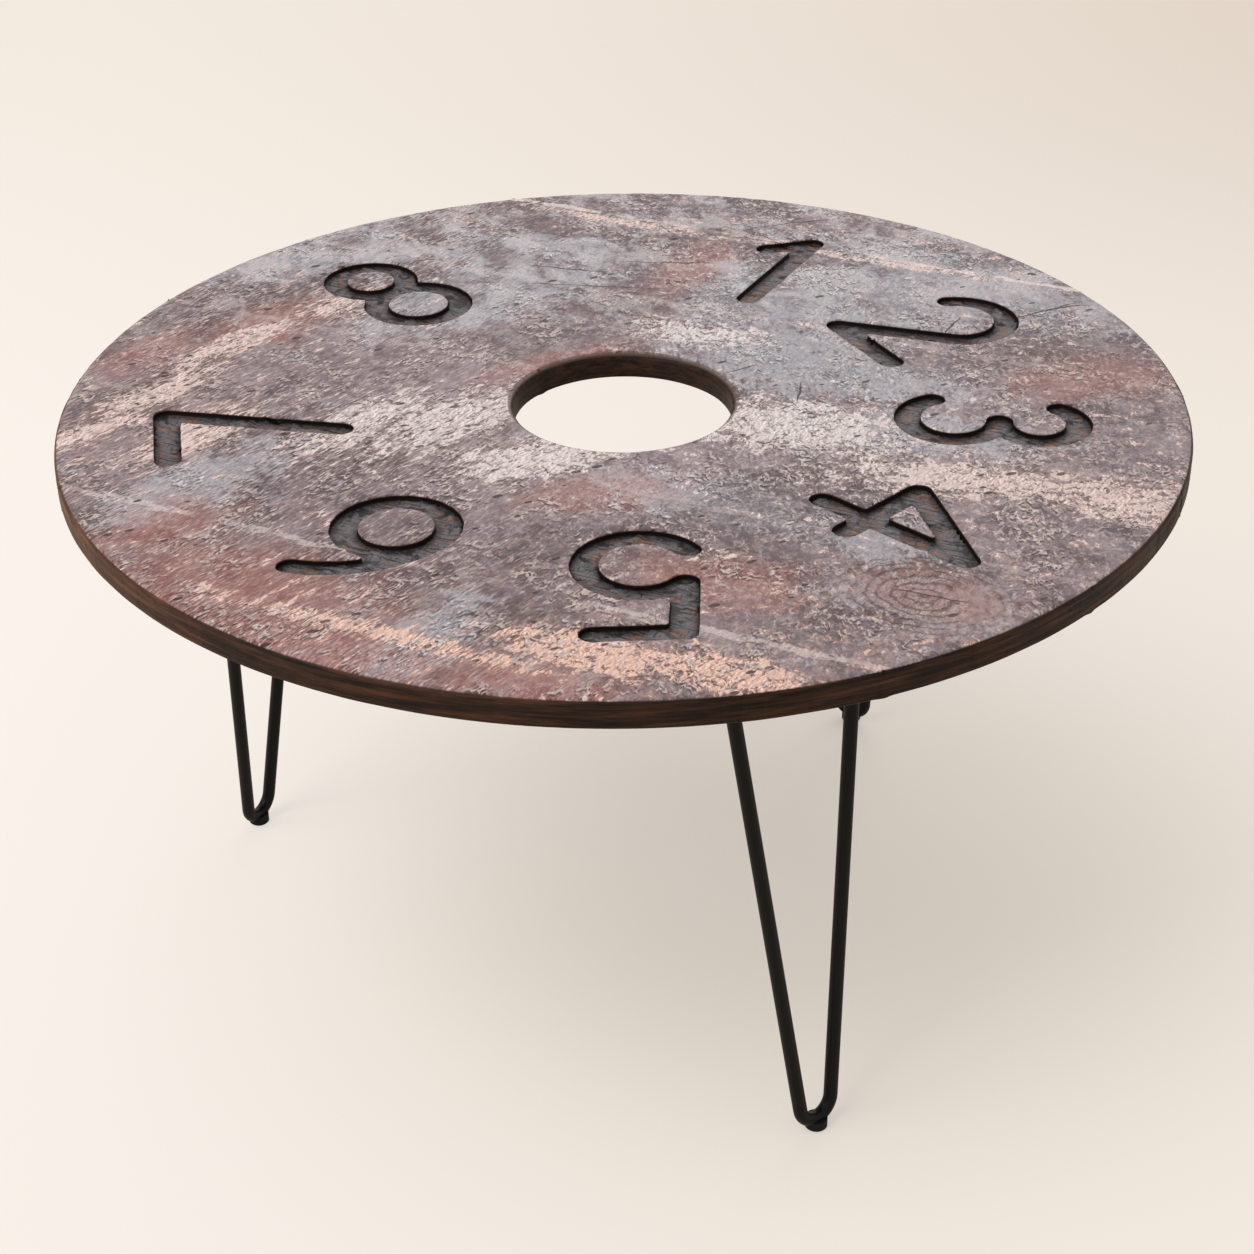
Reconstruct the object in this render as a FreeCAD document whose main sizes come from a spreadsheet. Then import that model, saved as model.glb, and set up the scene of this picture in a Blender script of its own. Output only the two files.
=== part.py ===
"""Round coffee table: a glued plank top with a centre hole and a dial of routed numbers, on three
screwed-on hairpin legs.

The origin is on the floor under the middle of the top, +Z is up and -Y is the front.
All sizes are in millimetres, all angles in degrees.
"""
import FreeCAD, Part
import math
import os

import Sketcher

# Driving sizes
SIZES = {
    # Round top of edge-glued boards
    "top_diameter": 800,
    "top_thickness": 20,
    "hole_diameter": 156,
    "rim_chamfer": 2.5,
    "hole_chamfer": 4,
    "under_chamfer": 1,
    # The boards were glued to a panel that reached this far past the rim at the front and the back
    "front_trim": 16,
    "back_trim": 60,
    "board_angle": -25,
    # Routed numbers, set out like a dial with their heads towards the rim
    "number_height": 120,
    "number_stroke": 19,
    "number_depth": 6,
    "number_inset": 138,
    "number_1_angle": 62,
    "number_2_angle": 27,
    "number_3_angle": -9,
    "number_4_angle": -45,
    "number_5_angle": -88,
    "number_6_angle": -129,
    "number_7_angle": -171,
    "number_8_angle": 132,
    # Dowels across the seams, low enough to clear the routed numbers
    "dowel_height": 7.5,
    "dowel_diameter": 8,
    "dowel_length": 50,
    "dowel_clearance": 0.1,
    # Hairpin rods
    "leg_height": 406,
    "leg_lean": 39,
    "rod_diameter": 10,
    "rod_spread": 118,
    "bend_radius": 14.5,
    # Mounting plates and their welds
    "plate_thickness": 3,
    "plate_reach": 50,
    "plate_arm_width": 30,
    "plate_inner_radius": 8,
    "plate_hole_diameter": 5.5,
    "weld_size": 4,
    "weld_toe": 1,
    # Wood screws
    "screw_diameter": 4,
    "screw_length": 14,
    "screw_tip_length": 4,
    "screw_head_diameter": 9,
    "screw_head_height": 3,
    "screw_head_edge": 1,
    "pilot_clearance": 0.05,
    "pilot_extra_depth": 1,
    # Foot glides
    "glide_diameter": 16,
    "glide_base": 3,
    "glide_rim_height": 8,
    "glide_edge": 1.2,
    "glide_stem_diameter": 4,
    "glide_stem_length": 5,
    "glide_clearance": 0.1,
    # Where each leg stands: the foot's angle, its distance in from the rim, and the leg's own turn
    "front_leg_angle": -66,
    "front_leg_inset": 83,
    "front_leg_turn": 15,
    "left_leg_angle": 163.7,
    "left_leg_inset": 82,
    "left_leg_turn": -12.5,
    "back_leg_angle": 50,
    "back_leg_inset": 95,
    "back_leg_turn": 0,
    # How far every cutting tool reaches past what it cuts
    "cut_overrun": 5,
}

LEGS = ("front", "left", "back")
BOARD_COUNT = 6

# Dowels sit at these shares of each stretch of seam, from the middle or the hole to the rim
DOWEL_SHARES = (0.16, 0.78)

# Screws sit at these shares of a plate arm, from the corner to the rod
ARM_SCREW_SHARES = (0.38, 0.72)

# Strokes of each number, in shares of half its height, from its middle.
# A line runs from one place to another. An arc has a middle, a radius, a first angle and a turn.
NUMBER_STROKE_SHARES = {
    1: (("line", (-0.4, 0.58), (0.06, 1)), ("line", (0.06, 1), (0.06, -1))),
    2: (
        ("arc", (0, 0.42), 0.58, -40, 200),
        ("line", (0.444, 0.047), (-0.6, -1)),
        ("line", (-0.6, -1), (0.62, -1)),
    ),
    3: (("arc", (-0.02, 0.54), 0.46, -90, 240), ("arc", (-0.02, -0.46), 0.54, -150, 240)),
    4: (
        ("line", (0.26, -1), (0.26, 1)),
        ("line", (0.26, 1), (-0.62, -0.36)),
        ("line", (-0.62, -0.36), (0.62, -0.36)),
    ),
    5: (
        ("line", (0.52, 1), (-0.4, 1)),
        ("line", (-0.4, 1), (-0.48, -0.014)),
        ("arc", (-0.02, -0.4), 0.6, -150, 290),
    ),
    6: (("arc", (0, -0.42), 0.58, 0, 360), ("arc", (0.84, -0.42), 1.42, 112, 68)),
    7: (("line", (-0.58, 1), (0.58, 1)), ("line", (0.58, 1), (-0.14, -1))),
    8: (("arc", (0, 0.54), 0.46, 0, 360), ("arc", (0, -0.46), 0.54, 0, 360)),
}

# Two places closer than this count as one
PLACE_TOLERANCE = 0.001

FULL_TURN = 360

# Places that several pieces share
TOP_RADIUS = "Sizes.top_diameter / 2"
PANEL_FRONT = "(-Sizes.top_diameter / 2 - Sizes.front_trim)"
BOARD_WIDTH = f"((Sizes.top_diameter + Sizes.front_trim + Sizes.back_trim) / {BOARD_COUNT})"
NUMBER_REACH = "(Sizes.number_height / 2)"
BIT_RADIUS = "Sizes.number_stroke / 2"
BIT_HEIGHT = "Sizes.number_depth + Sizes.cut_overrun"
ROD_RADIUS = "Sizes.rod_diameter / 2"
HALF_SPREAD = "Sizes.rod_spread / 2"
PLATE_BOTTOM = "(Sizes.leg_height - Sizes.plate_thickness)"
BEND_HEIGHT = "(Sizes.glide_base + Sizes.rod_diameter / 2)"
LEAN_ANGLE = f"atan(Sizes.leg_lean / ({PLATE_BOTTOM} - {BEND_HEIGHT}))"
BEND_AXIS_ANGLE = f"atan(({PLATE_BOTTOM} - {BEND_HEIGHT}) / Sizes.leg_lean)"
PATH_TOP = f"({PLATE_BOTTOM} - {BEND_HEIGHT}) / cos({LEAN_ANGLE})"
CORNER_X = "(Sizes.plate_reach - Sizes.leg_lean)"
PANEL_FRAME = "placement(vector(0; 0; Sizes.leg_height); rotation(vector(0; 0; 1); Sizes.board_angle))"

doc = FreeCAD.newDocument("round_coffee_table")
sheet = doc.addObject("Spreadsheet::Sheet", "Sizes")
nodes = {}


def fill_sheet():
    """Put every driving size in a cell with its own alias."""
    for row, (alias, number) in enumerate(SIZES.items(), start=1):
        sheet.set(f"A{row}", alias)
        sheet.set(f"B{row}", str(number))
        sheet.setAlias(f"B{row}", alias)
    doc.recompute()


def size(alias):
    """Read a driving size back from the sheet."""
    return float(getattr(sheet, alias))


def keep(piece, label):
    """Name a finished piece, so that it is written as its own file."""
    piece.Label = label
    nodes[label] = piece


def shifted(x="0", y="0", z="0", axis="0; 0; 1", angle="0"):
    """Give a placement that moves, after a turn about one axis."""
    return f"placement(vector({x}; {y}; {z}); rotation(vector({axis}); {angle}))"


def leg_frame(leg):
    """Give a leg's own frame: origin on the floor under the foot, +X outwards."""
    angle = f"Sizes.{leg}_leg_angle"
    radius = f"({TOP_RADIUS} - Sizes.{leg}_leg_inset)"
    return shifted(
        x=f"{radius} * cos({angle})",
        y=f"{radius} * sin({angle})",
        angle=f"{angle} + Sizes.{leg}_leg_turn",
    )


def bind(piece, **formulas):
    """Bind properties of an object to formulas in the sheet's sizes."""
    for name, formula in formulas.items():
        piece.setExpression(name, formula)


def cylinder(name, radius, height, place):
    """Make a plain cylinder."""
    piece = doc.addObject("Part::Cylinder", name)
    bind(piece, Radius=radius, Height=height, Placement=place)
    return piece


def combine(kind, name, base, tool):
    """Join, cut or intersect two pieces."""
    piece = doc.addObject(kind, name)
    piece.Base = base
    piece.Tool = tool
    return piece


def group(name, pieces):
    """Hold separate solids together as one group."""
    compound = doc.addObject("Part::Compound", name)
    compound.Links = pieces
    return compound


def new_body(name, place):
    """Start a body in a given frame."""
    body = doc.addObject("PartDesign::Body", name)
    bind(body, Placement=place)
    return body


def origin_plane(body, role):
    """Find one of a body's own origin planes."""
    return next(item for item in body.Origin.OriginFeatures if item.Role == role)


def new_sketch(body, name, role, lift="0", tilt="0"):
    """Start a sketch on an origin plane, raised along Z and then leaned about its own X axis."""
    sketch = body.newObject("Sketcher::SketchObject", name)
    sketch.AttachmentSupport = [(origin_plane(body, role), "")]
    sketch.MapMode = "FlatFace"
    rise = {"z": lift} if role == "XY_Plane" else {"y": lift}
    bind(sketch, AttachmentOffset=shifted(axis="1; 0; 0", angle=tilt, **rise))
    return sketch


def fix_point(sketch, element, end, x, y):
    """Set the place of one point of a sketch from the sketch's origin."""
    start = sketch.getPoint(element, end)
    for kind, axis, formula, place in (("DistanceX", -2, x, start.x), ("DistanceY", -1, y, start.y)):
        if formula == "0":
            sketch.addConstraint(Sketcher.Constraint("PointOnObject", element, end, axis))
            continue
        index = sketch.addConstraint(Sketcher.Constraint(kind, -1, 1, element, end, place))
        sketch.setExpression(f"Constraints[{index}]", formula)


def fix_radius(sketch, element, formula):
    """Set the radius of an arc or circle of a sketch."""
    start = sketch.Geometry[element].Radius
    index = sketch.addConstraint(Sketcher.Constraint("Radius", element, start))
    sketch.setExpression(f"Constraints[{index}]", formula)


def add_polygon(sketch, points):
    """Draw a closed outline of straight lines through points given as formulas."""
    count = len(points)
    corners = []
    for step in range(count):
        turn = 2 * math.pi * step / count
        corners.append(FreeCAD.Vector(math.cos(turn), math.sin(turn), 0))
    for step in range(count):
        sketch.addGeometry(Part.LineSegment(corners[step], corners[(step + 1) % count]))
    for step in range(count):
        sketch.addConstraint(Sketcher.Constraint("Coincident", step, 2, (step + 1) % count, 1))
    for step, (x, y) in enumerate(points):
        fix_point(sketch, step, 1, x, y)


def add_circle(sketch, x, y, radius):
    """Draw a circle whose middle and radius are formulas."""
    element = sketch.addGeometry(Part.Circle())
    fix_point(sketch, element, 3, x, y)
    fix_radius(sketch, element, radius)


def revolve(body, sketch, name):
    """Turn a half section about the vertical axis."""
    feature = body.newObject("PartDesign::Revolution", name)
    feature.Profile = sketch
    feature.ReferenceAxis = (sketch, ["V_Axis"])
    return feature


def cut_upwards(body, sketch, name, depth):
    """Cut a sketched outline upwards, and make sure that it takes material away."""
    doc.recompute()
    volume_before = body.Shape.Volume
    feature = body.newObject("PartDesign::Pocket", name)
    feature.Profile = sketch
    feature.Reversed = True
    bind(feature, Length=depth)
    doc.recompute()
    if body.Shape.Volume >= volume_before:
        raise RuntimeError(f"{name} cuts nothing")
    return feature


def mirror_across_leg(body, name, features):
    """Repeat features on the other side of a leg's middle plane."""
    feature = body.newObject("PartDesign::Mirrored", name)
    feature.Originals = features
    feature.MirrorPlane = (origin_plane(body, "XZ_Plane"), [""])
    body.Tip = feature
    return feature


def board_edge(step):
    """Give where a board's edge crosses the panel, counted from the front edge."""
    return f"({PANEL_FRONT} + {step} * {BOARD_WIDTH})"


def make_round_outline():
    """Make the disc with its hole and eased edges, which the glued boards are sawn to."""
    body = new_body("round_outline", shifted(z="Sizes.leg_height"))
    hole = "Sizes.hole_diameter / 2"
    rim = TOP_RADIUS
    top = "Sizes.top_thickness"
    section = new_sketch(body, "round_section", "XZ_Plane")
    add_polygon(section, [
        (f"{hole} + Sizes.under_chamfer", "0"),
        (f"{rim} - Sizes.under_chamfer", "0"),
        (rim, "Sizes.under_chamfer"),
        (rim, f"{top} - Sizes.rim_chamfer"),
        (f"{rim} - Sizes.rim_chamfer", top),
        (f"{hole} + Sizes.hole_chamfer", top),
        (hole, f"{top} - Sizes.hole_chamfer"),
        (hole, "Sizes.under_chamfer"),
    ])
    revolve(body, section, "round_turning")
    return body


def seam_dowel_places(seam):
    """List where the dowels of one seam stand along it, on both sides of the middle."""
    outer_end = f"(abs({seam}) + Sizes.dowel_length / 2)"
    rim_reach = f"sqrt(({TOP_RADIUS}) ^ 2 - {outer_end} ^ 2)"
    hole_reach = f"sqrt(max(0; (Sizes.hole_diameter / 2) ^ 2 - {seam} ^ 2))"
    places = []
    for side in (-1, 1):
        for share in DOWEL_SHARES:
            places.append(f"{side} * ({hole_reach} + {share} * ({rim_reach} - {hole_reach}))")
    return places


def make_seam(number, seam):
    """Make the dowels of one seam and the holes that they sit in."""
    dowels = []
    holes = []
    for step, along in enumerate(seam_dowel_places(seam), start=1):
        name = f"dowel_{number}_{step}"
        across = f"{seam} - Sizes.dowel_length / 2"
        height = "Sizes.dowel_height"
        dowel_place = shifted(along, across, height, "1; 0; 0", "-90")
        hole_place = shifted(along, f"{across} - Sizes.dowel_clearance", height, "1; 0; 0", "-90")
        dowels.append(cylinder(
            name,
            "Sizes.dowel_diameter / 2",
            "Sizes.dowel_length",
            f"{PANEL_FRAME} * {dowel_place}",
        ))
        holes.append(cylinder(
            f"{name}_hole",
            "Sizes.dowel_diameter / 2 + Sizes.dowel_clearance",
            "Sizes.dowel_length + 2 * Sizes.dowel_clearance",
            f"{PANEL_FRAME} * {hole_place}",
        ))
    keep(group(f"seam_{number}_dowels", dowels), f"seam_dowels_{number}")
    return holes


def number_frame(number):
    """Give a number's own frame: its middle on the routed floor, +Y towards the rim."""
    angle = f"Sizes.number_{number}_angle"
    radius = f"({TOP_RADIUS} - Sizes.number_inset)"
    return shifted(
        x=f"{radius} * cos({angle})",
        y=f"{radius} * sin({angle})",
        z="Sizes.leg_height + Sizes.top_thickness - Sizes.number_depth",
        angle=f"{angle} - 90",
    )


def number_place(point, angle=0):
    """Give a place in a number's own frame, from shares of half its height."""
    return shifted(f"{point[0]} * {NUMBER_REACH}", f"{point[1]} * {NUMBER_REACH}", angle=f"{angle}")


def rout_ends(name, frame, points):
    """Sink the router bit at the ends of a stroke."""
    ends = []
    for step, point in enumerate(points, start=1):
        place = f"{frame} * {number_place(point)}"
        ends.append(cylinder(f"{name}_end_{step}", BIT_RADIUS, BIT_HEIGHT, place))
    return ends


def rout_line(name, frame, start, end):
    """Rout a straight stroke with round ends."""
    heading = math.degrees(math.atan2(end[1] - start[1], end[0] - start[0]))
    slot = doc.addObject("Part::Box", f"{name}_slot")
    bind(
        slot,
        Length=f"{math.dist(start, end)} * {NUMBER_REACH}",
        Width="Sizes.number_stroke",
        Height=BIT_HEIGHT,
        Placement=f"{frame} * {number_place(start, heading)} * {shifted(y=f'-{BIT_RADIUS}')}",
    )
    return [slot, *rout_ends(name, frame, (start, end))]


def rout_arc(name, frame, middle, radius, first, turn):
    """Rout a round stroke, with round ends unless it closes on itself."""
    place = f"{frame} * {number_place(middle, first)}"
    outer = cylinder(f"{name}_outer", f"{radius} * {NUMBER_REACH} + {BIT_RADIUS}", BIT_HEIGHT, place)
    outer.Angle = turn
    inner = cylinder(f"{name}_inner", f"{radius} * {NUMBER_REACH} - {BIT_RADIUS}", BIT_HEIGHT, place)
    ring = combine("Part::Cut", f"{name}_ring", outer, inner)
    if turn == FULL_TURN:
        return [ring]
    ends = []
    for angle in (math.radians(first), math.radians(first + turn)):
        ends.append((middle[0] + radius * math.cos(angle), middle[1] + radius * math.sin(angle)))
    return [ring, *rout_ends(name, frame, ends)]


def rout_number(number):
    """Join the strokes of one number to one cutting tool."""
    strokes = []
    for step, (kind, *shape) in enumerate(NUMBER_STROKE_SHARES[number], start=1):
        rout = rout_line if kind == "line" else rout_arc
        strokes += rout(f"number_{number}_{step}", number_frame(number), *shape)
    joined = doc.addObject("Part::MultiFuse", f"number_{number}")
    joined.Shapes = strokes
    joined.Refine = True
    return joined


def make_board(number, outline, holes):
    """Make one board: a straight blank, sawn to the round outline, drilled and routed."""
    blank = doc.addObject("Part::Box", f"board_{number}_blank")
    place = shifted(f"-{TOP_RADIUS} - Sizes.cut_overrun", board_edge(number - 1))
    bind(
        blank,
        Length="Sizes.top_diameter + 2 * Sizes.cut_overrun",
        Width=BOARD_WIDTH,
        Height="Sizes.top_thickness",
        Placement=f"{PANEL_FRAME} * {place}",
    )
    sawn = combine("Part::Common", f"board_{number}_sawn", blank, outline)
    keep(combine("Part::Cut", f"board_{number}_drilled", sawn, holes), f"top_board_{number}")


def make_rod(leg):
    """Bend a leg's round bar into a hairpin, cut it level under the plate and drill its foot."""
    body = new_body(f"{leg}_rod", leg_frame(leg))
    bend = size("bend_radius")
    top = size("leg_height")
    spread = size("rod_spread") / 2

    path = new_sketch(body, f"{leg}_rod_path", "YZ_Plane", BEND_HEIGHT, f"-{LEAN_ANGLE}")
    middle = Part.Circle(FreeCAD.Vector(0, bend, 0), FreeCAD.Vector(0, 0, 1), bend)
    arc = path.addGeometry(Part.ArcOfCircle(middle, -math.pi / 2, 0))
    plate_end = FreeCAD.Vector(spread, top, 0)
    straight = path.addGeometry(Part.LineSegment(FreeCAD.Vector(bend, bend, 0), plate_end))
    plate_point = path.addGeometry(Part.Point(plate_end))
    path.setConstruction(plate_point, True)
    path.addConstraint(Sketcher.Constraint("Coincident", arc, 1, -1, 1))
    path.addConstraint(Sketcher.Constraint("PointOnObject", arc, 3, -2))
    path.addConstraint(Sketcher.Constraint("Tangent", arc, 2, straight, 1))
    path.addConstraint(Sketcher.Constraint("PointOnObject", plate_point, 1, straight))
    fix_radius(path, arc, "Sizes.bend_radius")
    fix_point(path, plate_point, 1, HALF_SPREAD, PATH_TOP)
    end = path.addConstraint(Sketcher.Constraint("DistanceY", -1, 1, straight, 2, top))
    path.setExpression(f"Constraints[{end}]", f"{PATH_TOP} + Sizes.rod_diameter")

    section = new_sketch(body, f"{leg}_rod_section", "XZ_Plane", BEND_HEIGHT)
    add_circle(section, "0", "0", ROD_RADIUS)
    half = body.newObject("PartDesign::AdditivePipe", f"{leg}_rod_half")
    half.Profile = section
    half.Spine = (path, ["Edge1", "Edge2"])
    doc.recompute()
    mirror_across_leg(body, f"{leg}_rod_both", [half])

    level = new_sketch(body, f"{leg}_rod_level", "XY_Plane", PLATE_BOTTOM)
    side = "(Sizes.rod_spread / 2 + Sizes.rod_diameter + Sizes.cut_overrun)"
    inner = "-(Sizes.leg_lean + Sizes.rod_diameter + Sizes.cut_overrun)"
    add_polygon(level, [(inner, f"-{side}"), (side, f"-{side}"), (side, side), (inner, side)])
    cut_upwards(body, level, f"{leg}_rod_trim", "2 * Sizes.rod_diameter + Sizes.cut_overrun")

    foot = new_sketch(body, f"{leg}_rod_foot", "XY_Plane")
    add_circle(foot, "0", "0", "Sizes.glide_stem_diameter / 2 + Sizes.glide_clearance")
    depth = "Sizes.glide_base + Sizes.glide_stem_length + Sizes.glide_clearance"
    cut_upwards(body, foot, f"{leg}_rod_foot_hole", depth)
    keep(body, f"{leg}_leg_rod")
    return body


def make_welds(leg, rod):
    """Run a weld bead round both ends of the rod, under the plate."""
    beads = []
    for name, side in (("near", "-"), ("far", "")):
        bead = doc.addObject("Part::Cone", f"{leg}_weld_{name}")
        place = shifted("-Sizes.leg_lean", f"{side}{HALF_SPREAD}", f"{PLATE_BOTTOM} - Sizes.weld_size")
        bind(
            bead,
            Radius1=f"{ROD_RADIUS} + Sizes.weld_toe",
            Radius2=f"{ROD_RADIUS} + Sizes.weld_size",
            Height="Sizes.weld_size",
            Placement=f"{leg_frame(leg)} * {place}",
        )
        beads.append(combine("Part::Cut", f"{leg}_weld_{name}_ring", bead, rod))
    keep(group(f"{leg}_weld_pair", beads), f"{leg}_leg_welds")


def arm_place(share, side=""):
    """Give a place along a plate arm, from the corner at share 0 to the rod at share 1."""
    return f"{CORNER_X} - {share} * Sizes.plate_reach", f"{side}{share} * {HALF_SPREAD}"


def screw_places():
    """List the screws of one plate: one in the corner, the others along both arms."""
    places = [(CORNER_X, "0")]
    for share in ARM_SCREW_SHARES:
        for side in ("-", ""):
            places.append(arm_place(share, side))
    return places


def inner_corner_edge(shape):
    """Name the upright edge where the two arms of a plate meet on the inside."""
    uprights = []
    for number, edge in enumerate(shape.Edges, start=1):
        ends = [vertex.Point for vertex in edge.Vertexes]
        on_middle = all(abs(end.y) < PLACE_TOLERANCE for end in ends)
        if on_middle and abs(ends[0].z - ends[-1].z) > PLACE_TOLERANCE:
            uprights.append((ends[0].x, f"Edge{number}"))
    return min(uprights)[1]


def make_plate(leg):
    """Make the flat angled plate that carries a rod, with its screw holes."""
    body = new_body(f"{leg}_plate", leg_frame(leg))
    half_width = "Sizes.plate_arm_width / 2"
    reach = size("plate_reach")
    corner = FreeCAD.Vector(reach - size("leg_lean"), 0, 0)
    end = FreeCAD.Vector(-size("leg_lean"), size("rod_spread") / 2, 0)
    along = (end - corner).normalize()
    across = FreeCAD.Vector(-along.y, along.x, 0) * size("plate_arm_width") / 2
    heading = math.atan2(along.y, along.x)
    upright = FreeCAD.Vector(0, 0, 1)

    outline = new_sketch(body, f"{leg}_plate_outline", "XY_Plane", PLATE_BOTTOM)
    quarter = math.pi / 2
    end_circle = Part.Circle(end, upright, across.Length)
    corner_circle = Part.Circle(corner, upright, across.Length)
    far_arc = outline.addGeometry(Part.ArcOfCircle(end_circle, heading - quarter, heading + quarter))
    inner_side = outline.addGeometry(Part.LineSegment(end + across, corner + across))
    near_arc = outline.addGeometry(Part.ArcOfCircle(corner_circle, heading + quarter, heading + 3 * quarter))
    outer_side = outline.addGeometry(Part.LineSegment(corner - across, end - across))
    ring = (far_arc, inner_side, near_arc, outer_side)
    for step, element in enumerate(ring):
        following = ring[(step + 1) % len(ring)]
        outline.addConstraint(Sketcher.Constraint("Tangent", element, 2, following, 1))
    fix_radius(outline, far_arc, half_width)
    outline.addConstraint(Sketcher.Constraint("Equal", far_arc, near_arc))
    fix_point(outline, far_arc, 3, "-Sizes.leg_lean", HALF_SPREAD)
    fix_point(outline, near_arc, 3, CORNER_X, "0")
    arm = body.newObject("PartDesign::Pad", f"{leg}_plate_arm")
    arm.Profile = outline
    bind(arm, Length="Sizes.plate_thickness")
    doc.recompute()
    both_arms = mirror_across_leg(body, f"{leg}_plate_arms", [arm])
    doc.recompute()

    inside = body.newObject("PartDesign::Fillet", f"{leg}_plate_inside")
    inside.Base = (both_arms, [inner_corner_edge(both_arms.Shape)])
    bind(inside, Radius="Sizes.plate_inner_radius")

    holes = new_sketch(body, f"{leg}_plate_holes", "XY_Plane", PLATE_BOTTOM)
    for x, y in screw_places():
        add_circle(holes, x, y, "Sizes.plate_hole_diameter / 2")
    cut_upwards(body, holes, f"{leg}_plate_drilled", "Sizes.plate_thickness + Sizes.cut_overrun")
    keep(body, f"{leg}_leg_plate")


def make_screw(name, place):
    """Turn one pan-head wood screw, point up."""
    body = new_body(name, place)
    head = "Sizes.screw_head_diameter / 2"
    core = "Sizes.screw_diameter / 2"
    section = new_sketch(body, f"{name}_section", "XZ_Plane")
    add_polygon(section, [
        ("0", "-Sizes.screw_head_height"),
        (f"{head} - Sizes.screw_head_edge", "-Sizes.screw_head_height"),
        (head, "Sizes.screw_head_edge - Sizes.screw_head_height"),
        (head, "0"),
        (core, "0"),
        (core, "Sizes.screw_length - Sizes.screw_tip_length"),
        ("0", "Sizes.screw_length"),
    ])
    revolve(body, section, f"{name}_turning")
    return body


def make_screws(leg):
    """Make the screws of one plate and the pilot holes that they bite into."""
    screws = []
    pilots = []
    for step, (x, y) in enumerate(screw_places(), start=1):
        name = f"{leg}_screw_{step}"
        screws.append(make_screw(name, f"{leg_frame(leg)} * {shifted(x, y, PLATE_BOTTOM)}"))
        pilots.append(cylinder(
            f"{name}_pilot",
            "Sizes.screw_diameter / 2 + Sizes.pilot_clearance",
            "Sizes.screw_length + Sizes.pilot_extra_depth",
            f"{leg_frame(leg)} * {shifted(x, y, PLATE_BOTTOM)}",
        ))
    keep(group(f"{leg}_screw_set", screws), f"{leg}_leg_screws")
    return pilots


def make_glide(leg):
    """Mould the round foot: a cup that cradles the bend, with a stem up into the rod."""
    body = new_body(f"{leg}_glide_cup", leg_frame(leg))
    radius = "Sizes.glide_diameter / 2"
    section = new_sketch(body, f"{leg}_glide_section", "XZ_Plane")
    add_polygon(section, [
        ("0", "0"),
        (f"{radius} - Sizes.glide_edge", "0"),
        (radius, "Sizes.glide_edge"),
        (radius, "Sizes.glide_rim_height"),
        ("0", "Sizes.glide_rim_height"),
    ])
    revolve(body, section, f"{leg}_glide_turning")

    cradle = doc.addObject("Part::Torus", f"{leg}_glide_cradle")
    bend_axis = shifted(z=BEND_HEIGHT, axis="0; 1; 0", angle=BEND_AXIS_ANGLE)
    bind(
        cradle,
        Radius1="Sizes.bend_radius",
        Radius2=f"{ROD_RADIUS} + Sizes.glide_clearance",
        Placement=f"{leg_frame(leg)} * {bend_axis} * {shifted(x='-Sizes.bend_radius')}",
    )
    cup = combine("Part::Cut", f"{leg}_glide_saddle", body, cradle)
    stem = cylinder(
        f"{leg}_glide_stem",
        "Sizes.glide_stem_diameter / 2",
        "Sizes.glide_base / 2 + Sizes.glide_stem_length",
        f"{leg_frame(leg)} * {shifted(z='Sizes.glide_base / 2')}",
    )
    keep(combine("Part::Fuse", f"{leg}_glide_whole", cup, stem), f"{leg}_leg_glide")


def make_leg(leg):
    """Make one whole leg, and give back the pilot holes of its screws."""
    rod = make_rod(leg)
    make_welds(leg, rod)
    make_plate(leg)
    make_glide(leg)
    return make_screws(leg)


def make_top(pilots):
    """Make the dowelled boards of the round top, with the numbers routed across them."""
    holes = list(pilots)
    for number in NUMBER_STROKE_SHARES:
        holes.append(rout_number(number))
    for number in range(1, BOARD_COUNT):
        holes += make_seam(number, board_edge(number))
    outline = make_round_outline()
    drilling = group("drilling", holes)
    for number in range(1, BOARD_COUNT + 1):
        make_board(number, outline, drilling)


def check_document():
    """Stop if any object failed or any piece is not a sound solid."""
    for item in doc.Objects:
        if "Invalid" in item.State or "Error" in item.State:
            raise RuntimeError(f"{item.Name} failed: {item.State}")
    for label, piece in nodes.items():
        if piece.Shape.isNull() or not piece.Shape.isValid() or not piece.Shape.Solids:
            raise RuntimeError(f"{label} is not a sound solid")


def write_pieces():
    """Write each finished piece to its own file."""
    os.makedirs("parts", exist_ok=True)
    for label, piece in nodes.items():
        piece.Shape.exportStep(os.path.join("parts", f"{label}.step"))


fill_sheet()
leg_pilots = []
for leg_name in LEGS:
    leg_pilots += make_leg(leg_name)
make_top(leg_pilots)
doc.recompute()
check_document()
write_pieces()
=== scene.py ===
"""Looks of the round coffee table: worn painted boards with a dial of routed numbers, on hairpin legs.

Lengths are in metres, in the frame of the solids: the origin is on the floor under the middle of the
top, +Z is up and -Y is the front. Patterns in the materials are laid out in millimetres.
"""
import math
from collections import namedtuple

import bmesh
import bpy
from mathutils import Matrix, Vector, kdtree, noise


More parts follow.
